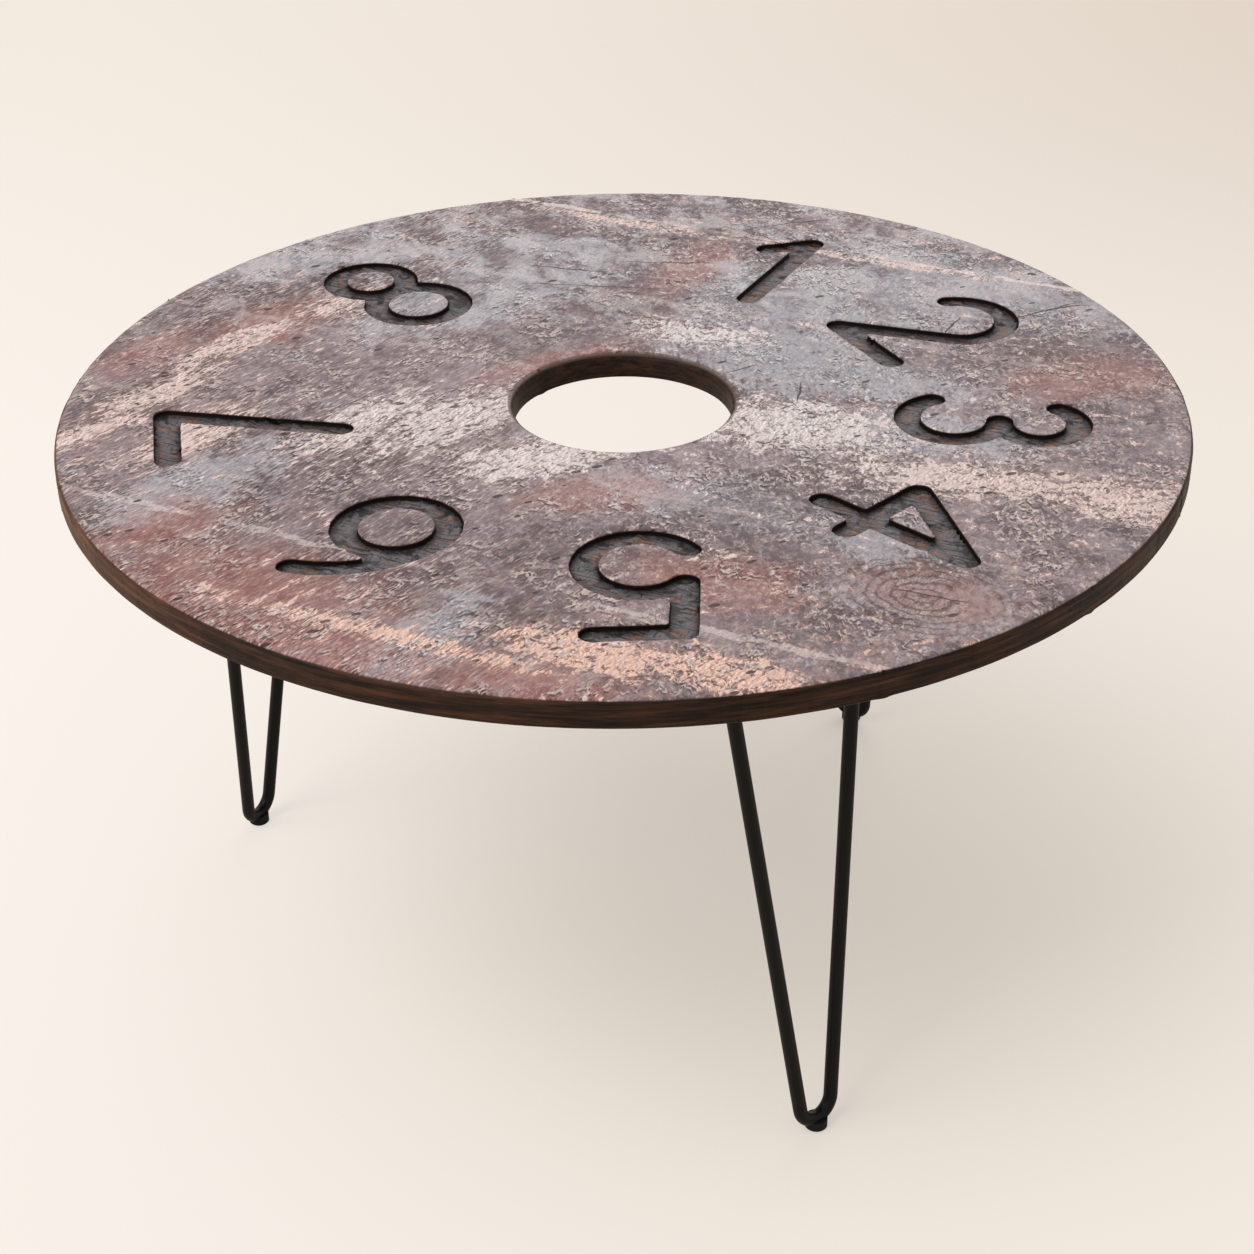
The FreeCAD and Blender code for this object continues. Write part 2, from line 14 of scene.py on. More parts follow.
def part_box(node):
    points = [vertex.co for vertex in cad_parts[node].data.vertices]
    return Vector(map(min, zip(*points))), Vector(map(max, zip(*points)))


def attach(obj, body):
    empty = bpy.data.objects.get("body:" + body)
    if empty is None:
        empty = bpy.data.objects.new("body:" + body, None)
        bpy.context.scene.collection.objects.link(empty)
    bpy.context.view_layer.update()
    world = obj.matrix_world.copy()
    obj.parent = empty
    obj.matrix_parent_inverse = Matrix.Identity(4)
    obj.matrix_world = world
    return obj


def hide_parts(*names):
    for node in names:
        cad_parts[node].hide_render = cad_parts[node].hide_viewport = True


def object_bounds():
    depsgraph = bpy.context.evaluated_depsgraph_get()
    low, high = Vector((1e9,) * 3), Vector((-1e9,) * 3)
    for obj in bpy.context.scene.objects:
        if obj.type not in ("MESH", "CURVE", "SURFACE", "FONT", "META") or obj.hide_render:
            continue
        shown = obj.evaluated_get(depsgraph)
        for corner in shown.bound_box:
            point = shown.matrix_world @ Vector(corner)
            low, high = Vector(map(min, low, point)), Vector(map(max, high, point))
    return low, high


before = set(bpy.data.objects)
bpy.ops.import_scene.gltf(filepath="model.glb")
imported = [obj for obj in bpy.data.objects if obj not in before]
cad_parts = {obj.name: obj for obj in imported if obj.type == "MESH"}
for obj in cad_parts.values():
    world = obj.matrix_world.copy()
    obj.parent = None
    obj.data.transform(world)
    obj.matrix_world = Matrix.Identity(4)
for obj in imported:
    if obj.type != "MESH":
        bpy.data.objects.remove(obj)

MM = 0.001
MERGE_DISTANCE = 0.01 * MM
cad_low, cad_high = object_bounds()

# The round top, as in the solids
TOP_Z = cad_high.z
UNDER_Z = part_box("top_board_1")[0].z
RIM_RADIUS = cad_high.x
HOLE_RADIUS = 78 * MM
RIM_CHAMFER = 2.5 * MM
HOLE_CHAMFER = 4 * MM
UNDER_CHAMFER = 1 * MM
CHAMFER_RUNOUT = 6 * MM
RIM_STEPS = 256

# The boards, counted from the front
BOARD_COUNT = 6
BOARD_WIDTH = 146 * MM
PANEL_FRONT = -416 * MM
GRAIN_TURN = math.radians(-25)
ALONG = Vector((math.cos(GRAIN_TURN), math.sin(GRAIN_TURN), 0))
ACROSS = Vector((-math.sin(GRAIN_TURN), math.cos(GRAIN_TURN), 0))
SEAMS = [PANEL_FRONT + step * BOARD_WIDTH for step in range(1, BOARD_COUNT)]
SKIN = 1.35 * MM
SAW_LEVEL = UNDER_Z + 2 * MM
BOARD_SHARP_ANGLE = math.radians(50)

# The routed numbers, as in the solids
NUMBER_REACH = 60 * MM
NUMBER_RADIUS = RIM_RADIUS - 138 * MM
NUMBER_ANGLES = {1: 62, 2: 27, 3: -9, 4: -45, 5: -88, 6: -129, 7: -171, 8: 132}
BIT_RADIUS = 9.5 * MM
BIT_TAPER = 0.4 * MM
BIT_STEP = 2 * MM
BIT_SIDES = 40
ARC_STEPS = 24
ROUT_DEPTH = 6 * MM
ROUT_OVERRUN = 3 * MM
ROUT_SKIN = 1.2 * MM
# The floor's edges are darkened partly as burnt wood and partly as painted shade at the foot of the walls
BURN_AND_SHADE = "burn_and_shade"
BURN_AND_SHADE_START_SHARE = 0.4

# Strokes of each number, in shares of half its height, from its middle.
# A line runs from one place to another. An arc has a middle, a radius, a first angle and a turn.
NUMBER_STROKE_SHARES = {
    1: (("line", (-0.4, 0.58), (0.06, 1)), ("line", (0.06, 1), (0.06, -1))),
    2: (
        ("arc", (0, 0.42), 0.58, -40, 200),
        ("line", (0.444, 0.047), (-0.6, -1)),
        ("line", (-0.6, -1), (0.62, -1)),
    ),
    3: (("arc", (-0.02, 0.54), 0.46, -90, 240), ("arc", (-0.02, -0.46), 0.54, -150, 240)),
    4: (
        ("line", (0.26, -1), (0.26, 1)),
        ("line", (0.26, 1), (-0.62, -0.36)),
        ("line", (-0.62, -0.36), (0.62, -0.36)),
    ),
    5: (
        ("line", (0.52, 1), (-0.4, 1)),
        ("line", (-0.4, 1), (-0.48, -0.014)),
        ("arc", (-0.02, -0.4), 0.6, -150, 290),
    ),
    6: (("arc", (0, -0.42), 0.58, 0, 360), ("arc", (0.84, -0.42), 1.42, 112, 68)),
    7: (("line", (-0.58, 1), (0.58, 1)), ("line", (0.58, 1), (-0.14, -1))),
    8: (("arc", (0, 0.54), 0.46, 0, 360), ("arc", (0, -0.46), 0.54, 0, 360)),
}

# The legs, as in the solids: the foot's angle, its distance in from the rim, and the leg's own turn
LEGS = {"front": (-66, 83 * MM, 15), "left": (163.7, 82 * MM, -12.5), "back": (50, 95 * MM, 0)}
LEG_LEAN = 39 * MM
HALF_SPREAD = 59 * MM
PLATE_BOTTOM = UNDER_Z - 3 * MM
PLATE_REACH = 50 * MM
CORNER_X = PLATE_REACH - LEG_LEAN
ARM_SCREW_SHARES = (0.38, 0.72)


def srgb(red, green, blue):
    """Give a colour as it looks on a screen, in the numbers that a shader mixes."""
    shares = []
    for level in (red, green, blue):
        share = level / 255
        low = share / 12.92
        high = ((share + 0.055) / 1.055) ** 2.4
        shares.append(low if share <= 0.04045 else high)
    return (*shares, 1)


def mesh_object(name, mesh):
    """Put a mesh in the scene as an object at the origin."""
    piece = bpy.data.objects.new(name, mesh)
    bpy.context.scene.collection.objects.link(piece)
    return piece


def bm_object(name, bm):
    """Turn a finished bmesh into an object."""
    mesh = bpy.data.meshes.new(name)
    bm.to_mesh(mesh)
    bm.free()
    return mesh_object(name, mesh)


def finished_mesh(piece):
    """Give an object's mesh with its modifiers applied."""
    graph = bpy.context.evaluated_depsgraph_get()
    return bpy.data.meshes.new_from_object(piece.evaluated_get(graph))


def even_skin(piece, size):
    """Give an object an even skin of small faces."""
    skin = piece.modifiers.new("skin", "REMESH")
    skin.mode = "VOXEL"
    skin.voxel_size = size


def cut_away(piece, tool, solver):
    """Cut the shape of a tool out of an object."""
    cut = piece.modifiers.new(tool.name, "BOOLEAN")
    cut.operation = "DIFFERENCE"
    cut.solver = solver
    cut.object = tool


def saw_off(bm, place, normal):
    """Saw off all that is beyond a plane, and give the open edges."""
    whole = bm.verts[:] + bm.edges[:] + bm.faces[:]
    cut = bmesh.ops.bisect_plane(bm, geom=whole, plane_co=place, plane_no=normal, clear_outer=True)
    return [item for item in cut["geom_cut"] if isinstance(item, bmesh.types.BMEdge)]


def face_outwards(bm):
    """Turn every face of a closed shape outwards."""
    bmesh.ops.recalc_face_normals(bm, faces=bm.faces)
    if bm.calc_volume(signed=True) < 0:
        bmesh.ops.reverse_faces(bm, faces=bm.faces)


def lathe(section, steps, closed=True):
    """Turn a half section about the vertical axis."""
    bm = bmesh.new()
    corners = [bm.verts.new((radius, 0, height)) for radius, height in section]
    first = 0 if closed else 1
    edges = [bm.edges.new((corners[step - 1], corners[step])) for step in range(first, len(corners))]
    bmesh.ops.spin(
        bm,
        geom=corners + edges,
        cent=(0, 0, 0),
        axis=(0, 0, 1),
        angle=math.tau,
        steps=steps,
        use_merge=True,
    )
    bmesh.ops.remove_doubles(bm, verts=bm.verts, dist=MERGE_DISTANCE)
    face_outwards(bm)
    return bm


# Numbers

def stroke_points(kind, *shape):
    """List the places along a stroke, in shares of half the number's height."""
    if kind == "line":
        return shape
    middle, radius, first, turn = shape
    points = []
    for step in range(ARC_STEPS + 1):
        angle = math.radians(first + turn * step / ARC_STEPS)
        points.append((middle[0] + radius * math.cos(angle), middle[1] + radius * math.sin(angle)))
    return points


def bit_places(number):
    """Walk the router bit along every stroke of a number, whose head points to the rim."""
    angle = math.radians(NUMBER_ANGLES[number])
    upwards = Vector((math.cos(angle), math.sin(angle), 0))
    sideways = upwards.cross(Vector((0, 0, 1)))
    middle = upwards * NUMBER_RADIUS
    for stroke in NUMBER_STROKE_SHARES[number]:
        shares = stroke_points(*stroke)
        points = [middle + (sideways * across + upwards * along) * NUMBER_REACH for across, along in shares]
        for start, end in zip(points, points[1:]):
            steps = max(1, round((end - start).length / BIT_STEP))
            for step in range(steps + 1):
                yield start.lerp(end, step / steps)


def make_routing():
    """Run a round router bit along every number."""
    bm = bmesh.new()
    height = ROUT_DEPTH + ROUT_OVERRUN
    lift = Vector((0, 0, TOP_Z - ROUT_DEPTH + height / 2))
    for number in NUMBER_STROKE_SHARES:
        for place in bit_places(number):
            bmesh.ops.create_cone(
                bm,
                cap_ends=True,
                segments=BIT_SIDES,
                radius1=BIT_RADIUS - BIT_TAPER,
                radius2=BIT_RADIUS,
                depth=height,
                matrix=Matrix.Translation(place + lift),
            )
    routing = bm_object("routing", bm)
    even_skin(routing, ROUT_SKIN)
    return routing


# Boards

TOP_SECTION = (
    (HOLE_RADIUS + HOLE_CHAMFER, TOP_Z),
    (RIM_RADIUS - RIM_CHAMFER, TOP_Z),
    (RIM_RADIUS, TOP_Z - RIM_CHAMFER),
    (RIM_RADIUS, UNDER_Z),
    (HOLE_RADIUS, UNDER_Z),
    (HOLE_RADIUS, TOP_Z - HOLE_CHAMFER),
)


def board_seams(number):
    """List a board's glued edges: where each crosses the panel, and which side of it is sawn off."""
    sides = []
    if number > 1:
        sides.append((SEAMS[number - 2], -1))
    if number < BOARD_COUNT:
        sides.append((SEAMS[number - 1], 1))
    return sides


def board_blank(number):
    """Turn the round top and saw one board out of it."""
    bm = lathe(TOP_SECTION, RIM_STEPS)
    for seam, side in board_seams(number):
        edges = saw_off(bm, ACROSS * seam, ACROSS * side)
        bmesh.ops.edgeloop_fill(bm, edges=edges)
    face_outwards(bm)
    return bm


def routed_skin(number, routing):
    """Rout the numbers out of a board and give it an even fine skin."""
    blank = bm_object("blank", board_blank(number))
    cut_away(blank, routing, "MANIFOLD")
    even_skin(blank, SKIN)
    mesh = finished_mesh(blank)
    bpy.data.objects.remove(blank)
    return mesh


def bumps(place, size, lift=0.0):
    """Give smooth bumps of about one size, from -1 to 1."""
    return noise.noise(Vector((place.x / size, place.y / size, place.z / size + lift)))


def as_share(level):
    """Bring a level from -1 to 1 into 0 to 1."""
    return 0.5 + 0.5 * level


def smooth_step(low, high, level):
    """Rise smoothly from 0 at the low level to 1 at the high level."""
    share = min(1, max(0, (level - low) / (high - low)))
    return share * share * (3 - 2 * share)


# Wear of the painted face: how deep each kind of mark is, and how wide
HOLLOW_DEPTH = 0.35 * MM
HOLLOW_SIZE = 95 * MM
RIDGE_DEPTH = 0.14 * MM
RIDGE_LENGTH = 42 * MM
RIDGE_WIDTH = 5 * MM
PEEL_DEPTH = 0.2 * MM
PEEL_SIZE = 11 * MM
KNOT = Vector((186 * MM, -283 * MM, 0))
KNOT_REACH = 62 * MM
KNOT_HEART = 30 * MM
KNOT_RING = 7.5 * MM
KNOT_WARP = 5 * MM
KNOT_DEPTH = 0.3 * MM
EDGE_DEPTH = 0.6 * MM
EDGE_WIDTH = 9 * MM
EDGE_SIZE = 16 * MM
NICK_DEPTH = 1.4 * MM
NICK_WIDTH = 4 * MM
NICK_SIZE = 13 * MM

# Wear of the sawn rim and hole, and of the routed numbers
SAW_DEPTH = 0.25 * MM
SAW_LENGTH = 30 * MM
SAW_WIDTH = 3 * MM
WALL_DEPTH = 0.5 * MM
WALL_SIZE = 9 * MM
LEDGE_SIZE = 14 * MM
LEDGE_HEIGHT = 1.6 * MM
TEAR_HEIGHT = 0.7 * MM
TEAR_SIZE = 5 * MM

# Levels of the bumps between which each kind of mark starts and is whole
PEEL_FADE = (-0.1, 0.35)
NICK_FADE = (0.32, 0.55)
LEDGE_FADE = (0.1, 0.3)

# How far the bumps of each kind of mark are lifted, so that no two kinds lie in the same places
PEEL_LIFT = 7.3
EDGE_LIFT = 3.1
NICK_LIFT = 9.1
LEDGE_LIFT = 2.9

# How far up the skin's normal points, at least, on a face, on a seam's top edge and on a wall
FACE_NORMAL = 0.75
SEAM_EDGE_NORMAL = 0.2
WALL_NORMAL = -0.5

# Along a seam, a normal that is shorter than this has no direction
LEAST_NORMAL = 0.1


def knot_rings(place):
    """Give how deep the rings of the knot are worn at a place."""
    reach = (place - KNOT).to_2d().length
    if reach > KNOT_REACH:
        return 0
    ring = noise.noise(Vector(((reach + KNOT_WARP * bumps(place, KNOT_HEART)) / KNOT_RING, 0, 0)))
    return KNOT_DEPTH * as_share(ring) * smooth_step(KNOT_REACH, KNOT_HEART, reach)


def face_drop(place):
    """Give how far wear has lowered a place on the painted face."""
    along = place.dot(ALONG) / RIDGE_LENGTH
    across = place.dot(ACROSS) / RIDGE_WIDTH
    radius = place.to_2d().length
    edge = min(RIM_RADIUS - radius, radius - HOLE_RADIUS)
    nicks = smooth_step(*NICK_FADE, bumps(place, NICK_SIZE, NICK_LIFT))
    drop = HOLLOW_DEPTH * as_share(bumps(place, HOLLOW_SIZE))
    drop += RIDGE_DEPTH * as_share(noise.noise(Vector((along, across, 0))))
    drop += PEEL_DEPTH * smooth_step(*PEEL_FADE, bumps(place, PEEL_SIZE, PEEL_LIFT))
    drop += knot_rings(place)
    drop += EDGE_DEPTH * smooth_step(EDGE_WIDTH, 0, edge) * as_share(bumps(place, EDGE_SIZE, EDGE_LIFT))
    drop += NICK_DEPTH * smooth_step(NICK_WIDTH, 0, edge) * nicks
    return drop


def floor_lift(place):
    """Give how far a place on a routed floor stands up: broken ledges and torn wood."""
    ledge = LEDGE_HEIGHT * smooth_step(*LEDGE_FADE, bumps(place, LEDGE_SIZE, LEDGE_LIFT))
    return ledge + TEAR_HEIGHT * abs(bumps(place, TEAR_SIZE))


def worn_place(place, normal):
    """Move one place of a board's skin to where wear and tools have left it."""
    radius = place.to_2d().length
    depth = TOP_Z - place.z
    if normal.z > FACE_NORMAL and depth < ROUT_DEPTH / 4:
        return place - Vector((0, 0, face_drop(place)))
    if normal.z > FACE_NORMAL and depth > ROUT_DEPTH / 2 and radius > HOLE_RADIUS + HOLE_CHAMFER:
        return place + Vector((0, 0, floor_lift(place)))
    if radius > RIM_RADIUS - RIM_CHAMFER or radius < HOLE_RADIUS + HOLE_CHAMFER:
        streaks = noise.noise(Vector((place.x / SAW_LENGTH, place.y / SAW_LENGTH, place.z / SAW_WIDTH)))
        return place - normal * SAW_DEPTH * (1 + streaks)
    if depth < ROUT_DEPTH + SKIN and normal.z > WALL_NORMAL:
        return place - normal * WALL_DEPTH * abs(bumps(place, WALL_SIZE))
    return place


def squared_edge(place, normal, number):
    """Bring a softened edge along a glued seam back to a square corner, worn within the seam."""
    for seam, side in board_seams(number):
        off = place.dot(ACROSS) - seam
        if abs(off) > SKIN:
            continue
        along = place.dot(ALONG)
        rim = math.sqrt(RIM_RADIUS ** 2 - seam ** 2)
        hole = math.sqrt(max(0, HOLE_RADIUS ** 2 - seam ** 2))
        under_chamfers = place.z < TOP_Z - HOLE_CHAMFER
        if under_chamfers and abs(along) > rim - SKIN:
            along = math.copysign(rim, along)
        if under_chamfers and hole and abs(along) < hole + SKIN:
            along = math.copysign(hole, along)
        height = TOP_Z if place.z > TOP_Z - SKIN and normal.z > SEAM_EDGE_NORMAL else place.z
        flat = normal - ACROSS * normal.dot(ACROSS)
        if flat.length > LEAST_NORMAL:
            normal = flat.normalized()
        place = ALONG * along + ACROSS * seam + Vector((0, 0, height))
    return place, normal


def wear(mesh, number):
    """Wear a board's skin: uneven paint, softened edges, rough routed floors."""
    places = []
    for vertex in mesh.vertices:
        place = worn_place(*squared_edge(vertex.co, vertex.normal, number))
        radius = place.to_2d().length
        if radius > RIM_RADIUS:
            place.xy *= RIM_RADIUS / radius
        places.extend((place.x, place.y, min(place.z, TOP_Z)))
    mesh.vertices.foreach_set("co", places)
    mesh.update()


def bit_path():
    """Give every place of the router bit, ready to look up the nearest."""
    places = [place for number in NUMBER_STROKE_SHARES for place in bit_places(number)]
    path = kdtree.KDTree(len(places))
    for step, place in enumerate(places):
        path.insert(place, step)
    path.balance()
    return path


def burn_and_shade_edges(mesh, path):
    """Note where the router bit has burnt a number and where its floor lies in shade: along the edges of its
    floor, darkened partly as a burn and partly as painted shade.
    """
    shares = []
    for vertex in mesh.vertices:
        _, _, off = path.find((vertex.co.x, vertex.co.y, 0))
        shares.append(smooth_step(BURN_AND_SHADE_START_SHARE * BIT_RADIUS, BIT_RADIUS, off))
    burn_and_shade = mesh.attributes.new(BURN_AND_SHADE, "FLOAT", "POINT")
    burn_and_shade.data.foreach_set("value", shares)


def drawn_down(bm, edges, level):
    """Draw open edges straight down to a level, and give the new edges and corners."""
    walls = bmesh.ops.extrude_edge_only(bm, edges=edges)["geom"]
    corners = [item for item in walls if isinstance(item, bmesh.types.BMVert)]
    for corner in corners:
        corner.co.z = level
    low_edges = [item for item in walls if isinstance(item, bmesh.types.BMEdge) and item.is_boundary]
    return low_edges, corners


def close_under(mesh, number):
    """Saw a board's fine skin off just above the underside, and close it with one flat face."""
    bm = bmesh.new()
    bm.from_mesh(mesh)
    edges = saw_off(bm, (0, 0, SAW_LEVEL), (0, 0, -1))
    edges, corners = drawn_down(bm, edges, UNDER_Z + UNDER_CHAMFER)
    edges, corners = drawn_down(bm, edges, UNDER_Z)
    for corner in corners:
        radius = corner.co.to_2d().length
        chamfer = UNDER_CHAMFER
        for seam, side in board_seams(number):
            chamfer *= smooth_step(0, CHAMFER_RUNOUT, abs(corner.co.dot(ACROSS) - seam))
        if radius > RIM_RADIUS - RIM_CHAMFER:
            corner.co.xy *= (radius - chamfer) / radius
        if radius < HOLE_RADIUS + HOLE_CHAMFER:
            corner.co.xy *= (radius + chamfer) / radius
    bmesh.ops.triangle_fill(bm, use_beauty=True, use_dissolve=False, edges=edges, normal=(0, 0, -1))
    face_outwards(bm)
    bm.to_mesh(mesh)
    bm.free()


def finish_piece(piece, node, material, sharp_angle):
    """Shade a piece smoothly apart from its sharp edges, dress it, hang it from the root and hide the solid
    that it replaces.
    """
    piece.data.shade_smooth()
    piece.data.set_sharp_from_angle(angle=sharp_angle)
    piece.data.materials.clear()
    piece.data.materials.append(material)
    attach(piece, "root")
    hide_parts(node)


def make_boards(material):
    """Make the six worn boards of the top."""
    routing = make_routing()
    path = bit_path()
    for number in range(1, BOARD_COUNT + 1):
        mesh = routed_skin(number, routing)
        wear(mesh, number)
        close_under(mesh, number)
        burn_and_shade_edges(mesh, path)
        board = mesh_object(f"worn_board_{number}", mesh)
        finish_piece(board, f"top_board_{number}", material, BOARD_SHARP_ANGLE)
    bpy.data.objects.remove(routing)


# Leg details

def leg_frame(leg):
    """Give a leg's own frame: origin on the floor under the foot, +X outwards."""
    angle, inset, turn = LEGS[leg]
    heading = Matrix.Rotation(math.radians(angle), 4, "Z")
    out = Matrix.Translation((RIM_RADIUS - inset, 0, 0))
    return heading @ out @ Matrix.Rotation(math.radians(turn), 4, "Z")


SCREW_SECTION = (
    (0, -3 * MM),
    (1.8 * MM, -2.9 * MM),
    (3.2 * MM, -2.4 * MM),
    (4.1 * MM, -1.5 * MM),
    (4.5 * MM, -0.5 * MM),
    (4.4 * MM, 0),
    (2 * MM, 0),
    (2 * MM, 10 * MM),
    (0, 14 * MM),
)
SCREW_STEPS = 32
SCREW_SPIN = 1.9
SCREW_SHARP_ANGLE = math.radians(35)
RECESS_LENGTH = 5 * MM
RECESS_WIDTH = 1.1 * MM
RECESS_DEPTH = 1.7 * MM
RECESS_TAPER_SHARES = (0.55, 0.7)


def screw_places():
    """List the screws of one plate: one in the corner, the others along both arms."""
    places = [Vector((CORNER_X, 0, PLATE_BOTTOM))]
    for share in ARM_SCREW_SHARES:
        for side in (-1, 1):
            places.append(Vector((CORNER_X - share * PLATE_REACH, side * share * HALF_SPREAD, PLATE_BOTTOM)))
    return places


def recess_bar(name, length, width):
    """Make one tapered bar of the cross that is pressed into a screw's head."""
    bm = bmesh.new()
    bmesh.ops.create_cube(bm, size=1, matrix=Matrix.Diagonal((length, width, 2 * RECESS_DEPTH, 1)))
    for corner in bm.verts:
        if corner.co.z > 0:
            corner.co.x *= RECESS_TAPER_SHARES[0]
            corner.co.y *= RECESS_TAPER_SHARES[1]
    bmesh.ops.translate(bm, verts=bm.verts, vec=(0, 0, SCREW_SECTION[0][1]))
    return bm_object(name, bm)


def make_screw_mesh():
    """Turn one pan-head screw and press a cross into its head."""
    screw = bm_object("screw", lathe(SCREW_SECTION, SCREW_STEPS, closed=False))
    bars = [
        recess_bar("recess_long", RECESS_LENGTH, RECESS_WIDTH),
        recess_bar("recess_cross", RECESS_WIDTH, RECESS_LENGTH),
    ]
    for bar in bars:
        cut_away(screw, bar, "EXACT")
    mesh = finished_mesh(screw)
    for spare in [screw, *bars]:
        bpy.data.objects.remove(spare)
    return mesh


def make_screws(leg, screw_mesh, material):
    """Set the screws of one plate, each turned to its own angle."""
    bm = bmesh.new()
    for step, place in enumerate(screw_places()):
        spin = Matrix.Rotation(step * SCREW_SPIN, 4, "Z")
        turned = screw_mesh.copy()
        turned.transform(leg_frame(leg) @ Matrix.Translation(place) @ spin)
        bm.from_mesh(turned)
        bpy.data.meshes.remove(turned)
    screws = bm_object(f"{leg}_cross_head_screws", bm)
    finish_piece(screws, f"{leg}_leg_screws", material, SCREW_SHARP_ANGLE)


BEAD_BORE = 4.6 * MM
BEAD_SECTION = (
    (BEAD_BORE, -4.4 * MM),
    (5.4 * MM, -4.2 * MM),
    (6.6 * MM, -3.2 * MM),
    (7.6 * MM, -2.2 * MM),
    (8.6 * MM, -1 * MM),
    (9 * MM, 0),
    (BEAD_BORE, 0),
)
BEAD_STEPS = 96
BEAD_RIPPLES = 15
BEAD_RIPPLE_DEPTH = 0.35 * MM
BEAD_RIPPLE_RADIUS = 7 * MM
BEAD_RIPPLE_SLANT = 0.9 * MM
BEAD_SHARP_ANGLE = math.radians(60)


def make_welds(leg, material):
    """Lay a rippled weld bead round both ends of a rod, under the plate."""
    whole = bmesh.new()
    for side in (-1, 1):
        bead = lathe(BEAD_SECTION, BEAD_STEPS)
        for corner in bead.verts:
            radius = corner.co.to_2d().length
            angle = math.atan2(corner.co.y, corner.co.x)
            outer = smooth_step(BEAD_BORE, BEAD_RIPPLE_RADIUS, radius)
            slant = angle * BEAD_RIPPLES + corner.co.z / BEAD_RIPPLE_SLANT
            corner.co.xy *= 1 - outer * BEAD_RIPPLE_DEPTH * (1 + math.sin(slant)) / radius
        mesh = bpy.data.meshes.new("bead")
        bead.to_mesh(mesh)
        bead.free()
        mesh.transform(leg_frame(leg) @ Matrix.Translation((-LEG_LEAN, side * HALF_SPREAD, PLATE_BOTTOM)))
        whole.from_mesh(mesh)
        bpy.data.meshes.remove(mesh)
    welds = bm_object(f"{leg}_weld_beads", whole)
    finish_piece(welds, f"{leg}_leg_welds", material, BEAD_SHARP_ANGLE)


# Material tools

class Graph:
    """Builds one node tree. Any input takes a plain value or another node's output."""

    def __init__(self, tree):
        self.tree = tree

    def feed(self, socket, source):
        """Wire an output to an input, or set the input's own value."""
        if isinstance(source, bpy.types.NodeSocket):
            self.tree.links.new(source, socket)
        else:
            socket.default_value = source

    def add(self, kind, inputs=None, **choices):
        """Add a node, choose its settings and feed its inputs."""
        node = self.tree.nodes.new(kind)
        for name, choice in choices.items():
            setattr(node, name, choice)
        for name, source in (inputs or {}).items():
            self.feed(node.inputs[name], source)
        return node

    def math(self, operation, first, second=0.0):
        """Do one sum."""
        return self.add("ShaderNodeMath", {0: first, 1: second}, operation=operation).outputs[0]

    def plus(self, first, second):
        """Add two levels."""
        return self.math("ADD", first, second)

    def minus(self, first, second):
        """Take one level from another."""
        return self.math("SUBTRACT", first, second)

    def times(self, first, second):
        """Multiply two levels."""
        return self.math("MULTIPLY", first, second)

    def most(self, first, second):
        """Take the higher of two levels."""
        return self.math("MAXIMUM", first, second)

    def apart(self, first, second):
        """Give how far two levels are apart."""
        return self.math("ABSOLUTE", self.minus(first, second))

    def fade(self, level, low, high):
        """Rise smoothly from 0 at the low level to 1 at the high level."""
        inputs = {"Value": level, "From Min": low, "From Max": high}
        return self.add("ShaderNodeMapRange", inputs, interpolation_type="SMOOTHSTEP").outputs[0]

    def span(self, level, low, high):
        """Stretch a 0 to 1 level over a range."""
        return self.add("ShaderNodeMapRange", {"Value": level, "To Min": low, "To Max": high}).outputs[0]

    def stir(self, field, pattern, reach):
        """Stir a 0 to 1 pattern into a field, by as much as a reach either way."""
        return self.plus(field, self.span(pattern, -reach, reach))

    def blend(self, share, below, above, kind="MIX"):
        """Lay one colour over another."""
        node = self.add("ShaderNodeMix", {0: share, 6: below, 7: above}, data_type="RGBA", blend_type=kind)
        return node.outputs[2]

    def cross(self, share, below, above):
        """Go from one level to another."""
        return self.add("ShaderNodeMix", {0: share, 2: below, 3: above}, data_type="FLOAT").outputs[0]

    def clouds(self, place, size, detail=2.0, roughness=0.5, curl=0.0):
        """Give cloudy bumps of about one size, from 0 to 1."""
        inputs = {
            "Vector": place,
            "Scale": 1 / size,
            "Detail": detail,
            "Roughness": roughness,
            "Distortion": curl,
        }
        return self.add("ShaderNodeTexNoise", inputs).outputs["Fac"]

    def laid(self, place, turn=0.0, stretch=(1, 1, 1), shift=(0, 0, 0)):
        """Lay a pattern turned by an angle and stretched along its own axes."""
        rotation = (0, 0, math.radians(turn))
        inputs = {"Vector": place, "Location": shift, "Rotation": rotation, "Scale": stretch}
        return self.add("ShaderNodeMapping", inputs, vector_type="TEXTURE").outputs[0]

    def laid_clouds(self, place, turn, stretch, *grain):
        """Give cloudy bumps that are turned and stretched."""
        return self.clouds(self.laid(place, turn, stretch), 1, *grain)

    def parts(self, vector):
        """Split a vector in its three levels."""
        return self.add("ShaderNodeSeparateXYZ", {0: vector}).outputs

    def joined(self, x=0.0, y=0.0, z=0.0):
        """Join three levels to a vector."""
        return self.add("ShaderNodeCombineXYZ", {"X": x, "Y": y, "Z": z}).outputs[0]

    def shifted(self, place, shift):
        """Move a place."""
        return self.add("ShaderNodeVectorMath", {0: place, 1: shift}, operation="ADD").outputs[0]

    def scaled(self, place, scale):
        """Move a place to a number of times as far out."""
        return self.add("ShaderNodeVectorMath", {0: place, "Scale": scale}, operation="SCALE").outputs[0]

    def distance(self, place, middle=(0, 0, 0)):
        """Give how far a place is from a middle."""
        return self.add("ShaderNodeVectorMath", {0: place, 1: middle}, operation="DISTANCE").outputs["Value"]


